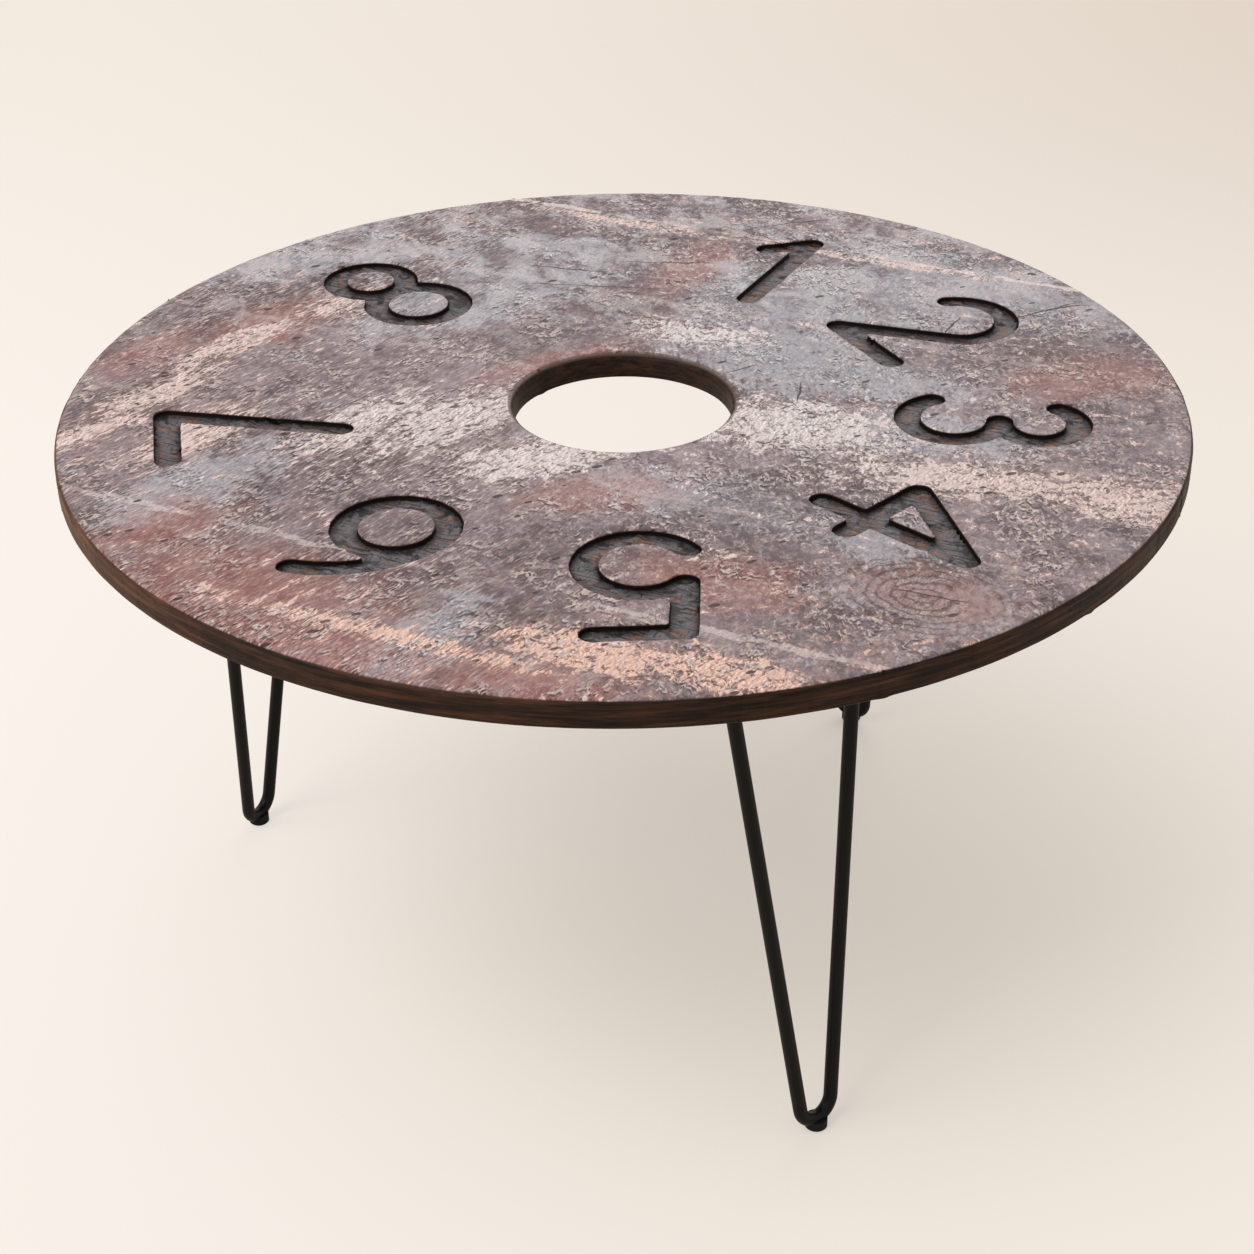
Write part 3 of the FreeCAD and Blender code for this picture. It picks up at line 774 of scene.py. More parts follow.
def new_group(name, inputs, outputs):
    """Start a node group with named sockets."""
    tree = bpy.data.node_groups.new(name, "ShaderNodeTree")
    for way, sockets in (("INPUT", inputs), ("OUTPUT", outputs)):
        for label, kind in sockets.items():
            tree.interface.new_socket(label, in_out=way, socket_type=f"NodeSocket{kind}")
    graph = Graph(tree)
    return graph, graph.add("NodeGroupInput").outputs


def close_group(graph, results):
    """Wire a node group's results to its outputs."""
    graph.add("NodeGroupOutput", results)
    return graph.tree


# Grain of wood: how far its streaks and pores are stretched, then their detail, roughness and curl
STREAK_STRETCH = (80, 2.8, 2.8)
STREAK_GRAIN = (4, 0.6, 0.4)
PORE_STRETCH = (22, 0.9, 0.9)
PORE_GRAIN = (2, 0.6)
STREAK_SHARE = 0.75
PORE_SHARE = 0.25
STREAK_HEIGHT_SHARE = 0.5
BAND_FADE = (0.4, 0.62)

# Grain of coats and mouldings: its size in grains, its detail and its roughness
PEBBLE_CLOUDS = (1, 2, 0.5)
WIDE_CLOUDS = (40, 3, 0.6)


def make_wood_grain():
    """Stretch streaks and pores along X, for stained wood."""
    inputs = {"Place": "Vector", "Dark": "Color", "Light": "Color"}
    graph, entry = new_group("wood_grain", inputs, {"Colour": "Color", "Height": "Float"})
    streaks = graph.laid_clouds(entry["Place"], 0, STREAK_STRETCH, *STREAK_GRAIN)
    pores = graph.laid_clouds(entry["Place"], 0, PORE_STRETCH, *PORE_GRAIN)
    bands = graph.plus(graph.times(streaks, STREAK_SHARE), graph.times(pores, PORE_SHARE))
    colour = graph.blend(graph.fade(bands, *BAND_FADE), entry["Dark"], entry["Light"])
    height = graph.plus(graph.times(streaks, STREAK_HEIGHT_SHARE), pores)
    return close_group(graph, {"Colour": colour, "Height": height})


def make_fine_grain():
    """Give the fine pebbling of a coat or a moulding, and faint larger clouds."""
    inputs = {"Place": "Vector", "Size": "Float"}
    graph, entry = new_group("fine_grain", inputs, {"Pebbles": "Float", "Clouds": "Float"})
    scaled = graph.scaled(entry["Place"], graph.math("DIVIDE", 1.0, entry["Size"]))
    pebbles = graph.clouds(scaled, *PEBBLE_CLOUDS)
    wide = graph.clouds(scaled, *WIDE_CLOUDS)
    return close_group(graph, {"Pebbles": pebbles, "Clouds": wide})


def make_soft_patch():
    """Fade out from the middle of an oval patch."""
    inputs = {"Place": "Vector", "Middle": "Vector", "Turn": "Vector", "Reach": "Vector"}
    graph, entry = new_group("soft_patch", inputs, {"Mask": "Float"})
    feeds = {
        "Vector": entry["Place"],
        "Location": entry["Middle"],
        "Rotation": entry["Turn"],
        "Scale": entry["Reach"],
    }
    laid = graph.add("ShaderNodeMapping", feeds, vector_type="TEXTURE")
    mask = graph.add("ShaderNodeTexGradient", {"Vector": laid.outputs[0]}, gradient_type="SPHERICAL")
    return close_group(graph, {"Mask": mask.outputs["Fac"]})


def new_material(name):
    """Start a material: its node tree, its surface and its place in millimetres."""
    material = bpy.data.materials.new(name)
    material.use_nodes = True
    graph = Graph(material.node_tree)
    surface = material.node_tree.nodes["Principled BSDF"]
    place = graph.scaled(graph.add("ShaderNodeTexCoord").outputs["Object"], 1 / MM)
    return material, graph, surface, place


def place_group(graph, tree, inputs):
    """Place a node group in a material."""
    return graph.add("ShaderNodeGroup", inputs, node_tree=tree).outputs


def raise_surface(graph, surface, height, depth):
    """Let a height pattern, in shares of a depth, shape the light on a surface."""
    bump = graph.add("ShaderNodeBump", {"Height": height, "Distance": depth})
    graph.feed(surface.inputs["Normal"], bump.outputs[0])


# Paint of the top

# Patches of each coat, in millimetres: the middle in plan, the turn in degrees, the reach along and across
CREAM_PATCHES = (
    ((-335, 20), 50, (90, 24)),
    ((-290, 105), 45, (85, 20)),
    ((-300, -45), 48, (85, 34)),
    ((-372, -40), 40, (60, 20)),
    ((-62, -92), 20, (85, 46)),
    ((-125, -32), 40, (90, 48)),
    ((-185, -30), 48, (90, 36)),
    ((118, -44), -15, (120, 56)),
    ((225, -128), -12, (130, 38)),
    ((330, -160), -20, (95, 42)),
    ((-20, -345), -22, (90, 34)),
    ((62, -372), -25, (105, 28)),
    ((-150, -318), -25, (160, 14)),
    ((9, 330), -25, (115, 9)),
    ((193, 248), -25, (130, 7)),
    ((-215, 180), 45, (60, 22)),
    ((60, 110), -20, (70, 30)),
)
RUST_PATCHES = (
    ((-245, -255), -25, (190, 90)),
    ((-190, -325), -30, (190, 60)),
    ((-300, -180), 45, (90, 60)),
    ((-265, 140), 45, (120, 55)),
    ((-350, 90), 50, (90, 40)),
    ((335, 25), 10, (120, 62)),
    ((-15, -140), 10, (110, 50)),
    ((60, -260), -20, (110, 60)),
    ((190, -285), -25, (100, 50)),
    ((55, 235), 60, (110, 46)),
    ((-60, -380), -25, (130, 40)),
    ((-50, 60), 30, (120, 40)),
)
COOL_PATCHES = (
    ((265, 190), -30, (190, 80)),
    ((150, 170), -25, (180, 80)),
    ((60, -150), -20, (130, 45)),
    ((-230, 280), 30, (120, 60)),
    ((-110, 185), 40, (130, 60)),
    ((-285, -120), 45, (110, 45)),
    ((-125, -330), 60, (90, 40)),
    ((200, -60), -10, (130, 50)),
    ((-50, 260), -20, (130, 50)),
    ((150, -200), -30, (100, 45)),
    ((190, 30), -15, (120, 56)),
    ((118, 66), -20, (130, 80)),
    ((185, -290), -25, (95, 44)),
)
UMBER_PATCHES = (
    ((30, 262), 40, (80, 44)),
    ((-50, 325), -25, (70, 24)),
    ((25, 190), 60, (80, 40)),
    ((78, -190), 30, (120, 66)),
    ((125, -140), 0, (90, 44)),
    ((345, 75), -30, (70, 42)),
    ((-265, 175), 40, (110, 40)),
    ((-190, -225), 30, (100, 45)),
    ((245, 45), -20, (70, 34)),
    ((-350, 10), 55, (90, 40)),
    ((-150, 300), -25, (50, 18)),
    ((300, 62), -20, (60, 30)),
    ((120, 290), -25, (80, 30)),
)
CRACKS = (
    ((325, 147), 27, (36, 1.1)),
    ((346, 154), 14, (21, 0.9)),
    ((90, 51), 31, (16, 0.9)),
    ((129, 11), 80, (21, 0.9)),
    ((119, -13), 38, (9, 0.8)),
    ((-40, 240), -14, (40, 1)),
    ((40, 250), -4, (46, 0.9)),
    ((30, -318), -30, (26, 1)),
    ((192, -280), -22, (30, 1.2)),
    ((-20, 205), -8, (60, 1)),
    ((250, 120), 62, (26, 0.9)),
    ((150, 330), 15, (30, 0.9)),
)
PATCH_HEIGHT = 1000

# Even patterns of the paint: the size in millimetres, the detail, the roughness and the curl
TONE_CLOUDS = (150, 5, 0.62, 0.3)
MOTTLE_CLOUDS = (26, 4, 0.65)
PRESENCE_CLOUDS = (48, 3, 0.6)
PLATE_CLOUDS = (22, 6, 0.62, 0.5)
SPOT_CLOUDS = (15, 5, 0.7)
CHIP_CLOUDS = (15, 4, 0.6, 0.6)
CURL_PIECE_CLOUDS = (9, 1, 0.5)
EMBOSS_CLOUDS = (1, 2, 0.6, 0.8)

# Stretched patterns: the turn in degrees, the size along and across in millimetres, then the same grain
GRAIN_DEGREES = math.degrees(GRAIN_TURN)
DAB_CLOUDS = (20, (34, 52, 1), 5, 0.66, 0.5)
SCRAPE_CLOUDS = (52, (8, 2.1, 1), 2, 0.55, 0.5)
BLOT_CLOUDS = (0, (4, 6.4, 1), 2, 0.6, 0.9)
LEFT_FLAKE_CLOUDS = (50, (30, 8, 1), 6, 0.68, 0.5)
RIGHT_FLAKE_CLOUDS = (-18, (20, 11, 1), 6, 0.68, 0.7)
SLANT_CLOUDS = (52, (14, 5, 1), 1.5, 0.5, 0.9)
CURL_CLOUDS = (-12, (8, 10.5, 1), 1.5, 0.5, 1.2)
SEAM_CLOUDS = (GRAIN_DEGREES, (15, 5, 1), 4, 0.65, 0.4)
SPLINTER_CLOUDS = (GRAIN_DEGREES, (26, 2.2, 1), 3, 0.6, 0.5)
WARM_CLOUDS = (0, (70, 6, 6), 4, 0.65)

# Other turns, stretches, shifts and sizes of patterns, in degrees and millimetres
PIT_LAY = (26, (2.2, 1.1, 1))
PIT_SPACING = 7
EMBOSS_LAY = (55, (4.4, 2.3, 1))
# How far the copy of the fine grain is shifted: their difference is the grain's painted shade and highlight
PAINTED_SHADE_SHIFT = (-0.1, 0.5, 0)
KNOT_LAY = (-25, (1.12, 0.92, 1), KNOT / MM)
KNOT_RING_SPACING = 8
# How far the painted shadow of each curl is shifted to its far side
CURL_SHADOW_SHIFT = (0.6, 2.3, 0)
CRACK_WANDER = 5
CRACK_WANDER_SIZE = 14
BOARD_SHIFT = 137
BOARD_TONE_SIZE = 1.37
SEAM_LINE_WIDTH = 4
SEAM_LINE_REACH = 12

# Where in plan, in millimetres, one look of the paint turns into another
LEFT_FADE = (60, -160)
RIM_WARMTH_FADE = (-220, -400)
BACK_FADE = (40, 260)
FRONT_FADE = (-170, -350)
CHALK_FADE = (130, 330)
KNOT_FADE = (KNOT_REACH / MM, KNOT_HEART / MM)
KNOT_RINGS_FADE = (KNOT_REACH / MM, 0.7 * KNOT_REACH / MM)
RIM_FADE = ((RIM_RADIUS - RIM_CHAMFER) / MM, (RIM_RADIUS - RIM_CHAMFER / 2) / MM)
BEVEL_FADE = ((HOLE_RADIUS + 1.2 * HOLE_CHAMFER) / MM, (HOLE_RADIUS + HOLE_CHAMFER) / MM)
HOLE_FADE = ((HOLE_RADIUS + HOLE_CHAMFER / 2) / MM, (HOLE_RADIUS + HOLE_CHAMFER / 4) / MM)

# Coats and marks: the levels of its field between which each one fades in, how much it covers,
# and how far it stands up or sinks, in shares of the paint's relief
Coat = namedtuple("Coat", ("fade", "share", "height_share"), defaults=(0.0,))
COOL_PLATES = Coat((0.12, 0.55), 0.66)
WORN_UMBER = Coat((0.06, 0.42), 0.7)
PALE_DABS = Coat((0.5, 0.58), 0.36)
DARK_DABS = Coat((0.48, 0.4), 0.74)
RUST_WASH = Coat((0.15, 0.85), 0.5)
WARM_SPOTS = Coat((0.62, 0.7), 0.4)
PALE_HAZE = Coat((-0.2, 0.35), 0.2)
WARM_FRINGE = Coat((0.18, 0.35), 0.22)
PALE_FLAKES = Coat((0.35, 0.4), 0.88, 0.3)
SEAM_LINES = Coat((SEAM_LINE_WIDTH, SEAM_LINE_WIDTH / 2), 0.75, 0.4)
PALE_MARKS = Coat((0.57, 0.61), 0.4, 0.4)
DARK_MARKS = Coat((0.42, 0.38), 0.4, -0.4)
PALE_CURLS = Coat((0.085, 0.03), 0.64, 0.9)
# A painted shadow beside each pale curl, which also sinks a little
CURL_PAINTED_SHADOWS = Coat((0.085, 0.03), 0.66, -0.5)
PITS = Coat((0.84, 0.88), 0.85, -0.8)
CRACK_LINES = Coat((0.02, 0.4), 0.85, -1)
KNOT_STAIN = Coat(KNOT_FADE, 0.3)
KNOT_RINGS = Coat((0.35, 0.95), 0.55, -0.8)
HOLE_BEVEL = Coat(BEVEL_FADE, 0.7)

# Where the marks gather: the levels of presence between which each kind does, and its least share elsewhere
GATHERING_SHARES = (-0.03, 0.17)
MARK_GATHERING = ((0.36, 0.6), 0.22)
CURL_GATHERING = ((0.42, 0.58), 0.18)
KNOT_GATHERING = ((0.36, 0.5), 0.3)
# The painted shade and highlight of the fine grain gather in the pale places too
PAINTED_SHADE_GATHERING = ((0.36, 0.64), 0.4)
DAB_SHARES = (0.2, 1)
CHALK_MARK_SHARES = (0.35, 1)
CURL_KNOT_SHARES = (1, 0.3)
CURL_FLAKE_SHARES = (1, 0.85)
PIT_FLAKE_SHARE = 0.4
PIT_WIDTHS = (0.12, 0.3)
PIT_EDGE = (0, 0.06)

# How far one pattern breaks up another
COOL_PLATE_REACH = 0.9
COOL_STROKE_REACH = 0.7
# More cool grey towards the back: partly the coat, partly a painted sheen
COOL_AND_SHEEN_BACK_SHARE = 0.24
UMBER_REACH = 0.6
RUST_REACH = 0.5
FLAKE_PATCH_SHARE = 0.9
FLAKE_RAGGED_REACH = 1.3
FLAKE_STROKE_REACH = 0.75
FAR_WARMTH_SHARE = 0.6
MOTTLE_WARMTH_SHARE = 0.5
GROUND_FADE = (0.41, 0.59)
SEAM_PRESENCE_FADE = (0.4, 0.5)
SEAM_LINE_SHARES = (0.6, 0.25, 0.25, 0.3, 1.25)
CURL_PIECE_FADE = (0.49, 0.56)
# Painted shade and highlight of the fine grain: how its slope and its level darken and lighten the colour
PAINTED_SHADE_SLOPE = 1.4
PAINTED_SHADE_LEVELS = (0.76, 1.28)
EMBOSS_HEIGHT_SHARE = 0.6

# Routed floors and walls: depths in millimetres, and how far the surface faces up
BROWN_PIECE_FADE = (0.5, 0.56)
DARK_PIECE_FADE = (0.44, 0.38)
DARK_SPLINTER_FADE = (0.52, 0.36)
CHIP_PIECE_FADE = (0.6, 0.64)
CHIP_SPLINTER_FADE = (0.52, 0.6)
ROUT_GRAIN_FADE = (0.22, 0.56)
# How dark the burn and painted shade at the foot of the walls is
BURN_AND_SHADE_SHARE = 0.8
# The depths between which the walls go from the warm lip to the near black of burn and painted shade
LIP_DEPTHS = (2.2, 0.8)
WALL_FACING = (0.8, 0.5)
FLOOR_DEPTHS = (1.3, 2.2)
STEEP_FACING = (0.75, 0.5)
STEEP_DEPTHS = (0.9, 1.4)

# Stained rim, hole and underside
UNDER_FACING = (-0.3, -0.6)
JOINT_FADE = (0.494, 0.498)
WARM_FADE = (0.42, 0.74)
WARM_SHARES = (0.4, 1)
WARM_LEFT_SHARE = 0.3
WARM_RIM_SHARES = (0.22, 0.85)

# Sheen and relief of the whole top
PAINT_ROUGHNESS = (0.4, 0.62)
FLAKE_ROUGHNESS = 0.12
PAINT_GLOSS = 0.14
PAINT_RELIEF = 0.5 * MM

# Colours of the coats, and of the wood under them
MAUVE = srgb(138, 120, 125)
UMBER = srgb(92, 75, 78)
COOL_GREY = srgb(170, 170, 178)
RUST = srgb(164, 104, 92)
EMBER = srgb(174, 112, 88)
PINK_CREAM = srgb(228, 199, 190)
PEACH = srgb(232, 192, 175)
CHALK = srgb(226, 220, 220)
PIT = srgb(46, 36, 35)
KNOT_BROWN = srgb(126, 96, 90)
BEVEL = srgb(96, 78, 71)
STAIN_DARK = srgb(15, 9, 6)
STAIN_LIGHT = srgb(50, 31, 22)
STAIN_WARM = srgb(122, 78, 52)
# Near black of the routed walls and the floors' edges: burnt wood and painted shade
ROUT_BURN_AND_SHADE = srgb(10, 7, 6)
ROUT_LIP = srgb(84, 50, 34)
ROUT_GREY = srgb(112, 109, 113)
ROUT_BROWN = srgb(122, 99, 92)
ROUT_DARK = srgb(56, 51, 51)
ROUT_CHIP = srgb(166, 112, 80)


def patch_field(graph, plan, patch_tree, patches):
    """Join soft patches to one field."""
    field = 0.0
    for middle, turn, reach in patches:
        inputs = {
            "Place": plan,
            "Middle": (*middle, 0),
            "Turn": (0, 0, math.radians(turn)),
            "Reach": (*reach, PATCH_HEIGHT),
        }
        field = graph.most(field, place_group(graph, patch_tree, inputs)["Mask"])
    return field


class WornPaint:
    """Lays the coats of the painted top over each other, and keeps the relief that they make."""

    def __init__(self, graph, place, patch_tree):
        self.graph = graph
        self.place = place
        self.patch_tree = patch_tree
        x, y, z = graph.parts(place)
        self.plan = graph.joined(x, y)
        self.depth = graph.minus(TOP_Z / MM, z)
        self.radius = graph.distance(self.plan)
        self.angle = graph.math("ARCTAN2", x, graph.times(y, -1.0))
        self.facing = graph.parts(graph.add("ShaderNodeNewGeometry").outputs["Normal"])["Z"]
        self.leftness = graph.fade(x, *LEFT_FADE)
        self.rim_warmth = graph.fade(x, *RIM_WARMTH_FADE)
        self.backness = graph.fade(y, *BACK_FADE)
        self.frontness = graph.fade(y, *FRONT_FADE)
        self.tone = graph.clouds(self.plan, *TONE_CLOUDS)
        self.mottle = graph.clouds(self.plan, *MOTTLE_CLOUDS)
        self.creams = self.patches(CREAM_PATCHES)
        gathering = graph.span(self.creams, *GATHERING_SHARES)
        self.presence = graph.plus(graph.clouds(self.plan, *PRESENCE_CLOUDS), gathering)
        self.colour = MAUVE
        self.relief = 0.0

    def patches(self, patches):
        """Give the field of one coat's patches."""
        return patch_field(self.graph, self.plan, self.patch_tree, patches)

    def gathered(self, fade, least_share):
        """Give how much of a kind of mark there is: all of it in the pale places, a share elsewhere."""
        return self.graph.span(self.graph.fade(self.presence, *fade), least_share, 1)

    def cover(self, mask, colour, share, height_share=0.0):
        """Lay a colour over the coats so far where a mask lets it, and let it stand up or sink."""
        self.colour = self.graph.blend(self.graph.times(mask, share), self.colour, colour)
        self.relief = self.graph.plus(self.relief, self.graph.times(mask, height_share))

    def lay(self, field, coat, colour, weight=1.0):
        """Lay a coat where its field lets it."""
        mask = self.graph.times(self.graph.fade(field, *coat.fade), weight)
        self.cover(mask, colour, coat.share, coat.height_share)

    def find_strokes(self):
        """Draw the short strokes that break every coat: scraped on the left, blotted on the right."""
        graph = self.graph
        scrapes = graph.laid_clouds(self.plan, *SCRAPE_CLOUDS)
        blots = graph.laid_clouds(self.plan, *BLOT_CLOUDS)
        self.strokes = graph.cross(self.leftness, blots, scrapes)

    def find_knot(self):
        """Find how far out from the knot's middle each place is, and how near that is to the knot."""
        graph = self.graph
        middle = graph.distance(graph.laid(self.plan, *KNOT_LAY))
        self.knot_reach = graph.stir(middle, self.mottle, 2 * KNOT_WARP / MM)
        self.knot_nearness = graph.fade(self.knot_reach, *KNOT_FADE)

    def lay_ground(self):
        """Lay the brown and mauve ground."""
        graph = self.graph
        mean = graph.times(graph.plus(self.tone, self.mottle), 0.5)
        self.colour = graph.blend(graph.fade(mean, *GROUND_FADE), UMBER, MAUVE)

    def lay_cool_plates(self):
        """Leave broken plates of a cool grey coat, on which the pale marks are chalky; towards the back
        there is more of it, partly as the coat and partly as a painted sheen.
        """
        graph = self.graph
        plates = graph.clouds(self.plan, *PLATE_CLOUDS)
        field = graph.stir(self.patches(COOL_PATCHES), plates, COOL_PLATE_REACH)
        field = graph.stir(field, self.strokes, COOL_STROKE_REACH)
        # Painted sheen: the cool grey grows towards the back, partly as the coat and partly as a sheen
        field = graph.plus(field, graph.times(self.backness, COOL_AND_SHEEN_BACK_SHARE))
        self.lay(field, COOL_PLATES, COOL_GREY)
        chalkiness = graph.span(graph.fade(field, *COOL_PLATES.fade), *CHALK_MARK_SHARES)
        self.mark_colour = graph.blend(chalkiness, PINK_CREAM, CHALK)

    def lay_umber(self):
        """Show dark umber where the coats have worn thin."""
        field = self.graph.stir(self.patches(UMBER_PATCHES), self.mottle, UMBER_REACH)
        self.lay(field, WORN_UMBER, UMBER)

    def lay_dabs(self):
        """Dab the coats lighter and darker, most of all towards the back."""
        dabs = self.graph.laid_clouds(self.plan, *DAB_CLOUDS)
        weight = self.graph.span(self.backness, *DAB_SHARES)
        self.lay(dabs, PALE_DABS, CHALK, weight)
        self.lay(dabs, DARK_DABS, UMBER, weight)

    def lay_rust(self):
        """Wash rust over the ground, and scatter small warm spots."""
        field = self.graph.stir(self.patches(RUST_PATCHES), self.mottle, -RUST_REACH)
        self.lay(field, RUST_WASH, RUST)
        self.lay(self.graph.clouds(self.plan, *SPOT_CLOUDS), WARM_SPOTS, EMBER)

    def lay_flakes(self):
        """Leave ragged flakes of a pale coat, with a warm fringe."""
        graph = self.graph
        left = graph.laid_clouds(self.plan, *LEFT_FLAKE_CLOUDS)
        right = graph.laid_clouds(self.plan, *RIGHT_FLAKE_CLOUDS)
        field = graph.times(self.creams, FLAKE_PATCH_SHARE)
        field = graph.stir(field, graph.cross(self.leftness, right, left), FLAKE_RAGGED_REACH)
        field = graph.stir(field, self.strokes, FLAKE_STROKE_REACH)
        self.flakes = graph.fade(field, *PALE_FLAKES.fade)
        far_warmth = graph.times(graph.fade(self.radius, *CHALK_FADE), FAR_WARMTH_SHARE)
        warmth = graph.plus(far_warmth, graph.times(self.mottle, MOTTLE_WARMTH_SHARE))
        pale = graph.blend(warmth, CHALK, PINK_CREAM)
        pale = graph.blend(self.frontness, pale, PEACH)
        self.lay(field, PALE_HAZE, pale)
        fringe = graph.minus(graph.fade(field, *WARM_FRINGE.fade), self.flakes)
        self.cover(fringe, EMBER, WARM_FRINGE.share)
        self.lay(field, PALE_FLAKES, pale)

    def lay_seam_lines(self):
        """Leave ragged pale lines along the glued seams."""
        graph = self.graph
        across = graph.parts(graph.laid(self.plan, GRAIN_DEGREES))["Y"]
        ragged = graph.laid_clouds(self.plan, *SEAM_CLOUDS)
        presence = graph.fade(self.tone, *SEAM_PRESENCE_FADE)
        pale = graph.blend(0.5, PINK_CREAM, CHALK)
        for seam, share in zip(SEAMS, SEAM_LINE_SHARES):
            off = graph.stir(graph.apart(across, seam / MM), ragged, -SEAM_LINE_REACH)
            line = graph.times(graph.fade(off, *SEAM_LINES.fade), presence)
            self.cover(line, pale, SEAM_LINES.share * share, SEAM_LINES.height_share * share)

    def lay_marks(self):
        """Mark the paint with light and dark strokes."""
        weight = self.gathered(*MARK_GATHERING)
        self.lay(self.strokes, DARK_MARKS, PIT, weight)
        self.lay(self.strokes, PALE_MARKS, self.mark_colour, weight)

    def lay_curl_lines(self, plan, coat, colour, weight):
        """Lay short thin lines: curled on the right, straighter and slanted on the left."""
        graph = self.graph
        curls = graph.laid_clouds(plan, *CURL_CLOUDS)
        slants = graph.laid_clouds(plan, *SLANT_CLOUDS)
        off = graph.apart(graph.cross(self.leftness, curls, slants), 0.5)
        pieces = graph.fade(graph.clouds(plan, *CURL_PIECE_CLOUDS), *CURL_PIECE_FADE)
        self.lay(off, coat, colour, graph.times(pieces, weight))

    def lay_curls(self):
        """Raise thin curls of paint, each with a dark far side that is painted shadow."""
        graph = self.graph
        weight = self.gathered(*CURL_GATHERING)
        weight = graph.times(weight, graph.span(self.knot_nearness, *CURL_KNOT_SHARES))
        # Painted shadow: a dark copy of the curls, shifted to their far side
        shadow_weight = graph.times(weight, graph.span(self.flakes, *CURL_FLAKE_SHARES))
        self.lay_curl_lines(graph.shifted(self.plan, CURL_SHADOW_SHIFT), CURL_PAINTED_SHADOWS, PIT, shadow_weight)
        self.lay_curl_lines(self.plan, PALE_CURLS, self.mark_colour, weight)

    def lay_pits(self):
        """Prick short dark pits, most of them through the pale coat."""
        graph = self.graph
        inputs = {"Vector": graph.laid(self.plan, *PIT_LAY), "Scale": 1 / PIT_SPACING}
        cells = graph.add("ShaderNodeTexVoronoi", inputs).outputs
        luck = graph.parts(cells["Color"])
        chosen = graph.plus(luck["X"], graph.times(self.flakes, PIT_FLAKE_SHARE))
        width = graph.span(luck["Y"], *PIT_WIDTHS)
        self.lay(chosen, PITS, PIT, graph.fade(graph.minus(width, cells["Distance"]), *PIT_EDGE))

    def lay_cracks(self):
        """Split the paint along a few hairline cracks."""
        graph = self.graph
        warp = graph.add("ShaderNodeTexNoise", {"Vector": self.plan, "Scale": 1 / CRACK_WANDER_SIZE})
        wandering = graph.shifted(self.plan, graph.scaled(warp.outputs["Color"], CRACK_WANDER))
        self.lay(patch_field(graph, wandering, self.patch_tree, CRACKS), CRACK_LINES, PIT)

    def lay_knot(self):
        """Brown the wood of the knot, and ring it with broken dark lines."""
        graph = self.graph
        self.lay(self.knot_reach, KNOT_STAIN, KNOT_BROWN)
        wave = graph.math("SINE", graph.times(self.knot_reach, math.tau / KNOT_RING_SPACING))
        around = graph.fade(self.knot_reach, *KNOT_RINGS_FADE)
        self.lay(wave, KNOT_RINGS, PIT, graph.times(around, self.gathered(*KNOT_GATHERING)))

    def emboss(self):
        """Paint shade and highlight into the colour of the paint's fine grain, lit side and far side, and
        raise the grain as relief.
        """
        graph = self.graph
        laid = graph.laid(self.plan, *EMBOSS_LAY)
        self.grain = graph.clouds(laid, *EMBOSS_CLOUDS)
        # Painted shade and highlight: the colour is darkened on the grain's far side and lightened on its
        # lit side
        painted_shade_slope = graph.minus(self.grain, graph.clouds(graph.shifted(laid, PAINTED_SHADE_SHIFT), *EMBOSS_CLOUDS))
        painted_shade = graph.plus(graph.times(painted_shade_slope, PAINTED_SHADE_SLOPE), graph.span(self.grain, *PAINTED_SHADE_LEVELS))
        painted_shade_grey = graph.add("ShaderNodeCombineColor", {0: painted_shade, 1: painted_shade, 2: painted_shade}).outputs[0]
        self.colour = graph.blend(self.gathered(*PAINTED_SHADE_GATHERING), self.colour, painted_shade_grey, "MULTIPLY")
        self.relief = graph.plus(self.relief, graph.times(self.grain, EMBOSS_HEIGHT_SHARE))

    def rout(self):
        """Bare the wood of the routed floors and walls; burns and painted shade darken the walls and the
        edges of the floors.
        """
        graph = self.graph
        splinters = graph.laid_clouds(self.plan, *SPLINTER_CLOUDS)
        pieces = graph.clouds(self.plan, *CHIP_CLOUDS)
        chips = graph.times(graph.fade(pieces, *CHIP_PIECE_FADE), graph.fade(splinters, *CHIP_SPLINTER_FADE))
        burn_and_shade = graph.add("ShaderNodeAttribute", attribute_name=BURN_AND_SHADE).outputs["Fac"]
        # The walls go from the warm lip at the top to near black deeper down: burnt wood and painted shade
        # in the groove
        burnt_shaded_wall = graph.blend(graph.fade(self.depth, *LIP_DEPTHS), ROUT_BURN_AND_SHADE, ROUT_LIP)
        floor = graph.blend(graph.fade(pieces, *BROWN_PIECE_FADE), ROUT_GREY, ROUT_BROWN)
        floor = graph.blend(graph.fade(pieces, *DARK_PIECE_FADE), floor, ROUT_DARK)
        floor = graph.blend(graph.fade(splinters, *DARK_SPLINTER_FADE), floor, ROUT_DARK)
        floor = graph.blend(chips, floor, ROUT_CHIP)
        floor = graph.blend(graph.fade(self.grain, *ROUT_GRAIN_FADE), ROUT_DARK, floor)
        # Burn and painted shade along the foot of the walls
        floor = graph.blend(graph.times(burn_and_shade, BURN_AND_SHADE_SHARE), floor, ROUT_BURN_AND_SHADE)
        floor = graph.blend(graph.fade(self.facing, *WALL_FACING), floor, burnt_shaded_wall)
        steep = graph.times(graph.fade(self.facing, *STEEP_FACING), graph.fade(self.depth, *STEEP_DEPTHS))
        routed = graph.most(graph.fade(self.depth, *FLOOR_DEPTHS), steep)
        self.colour = graph.blend(routed, self.colour, floor)
        self.relief = graph.cross(routed, self.relief, graph.plus(splinters, self.grain))

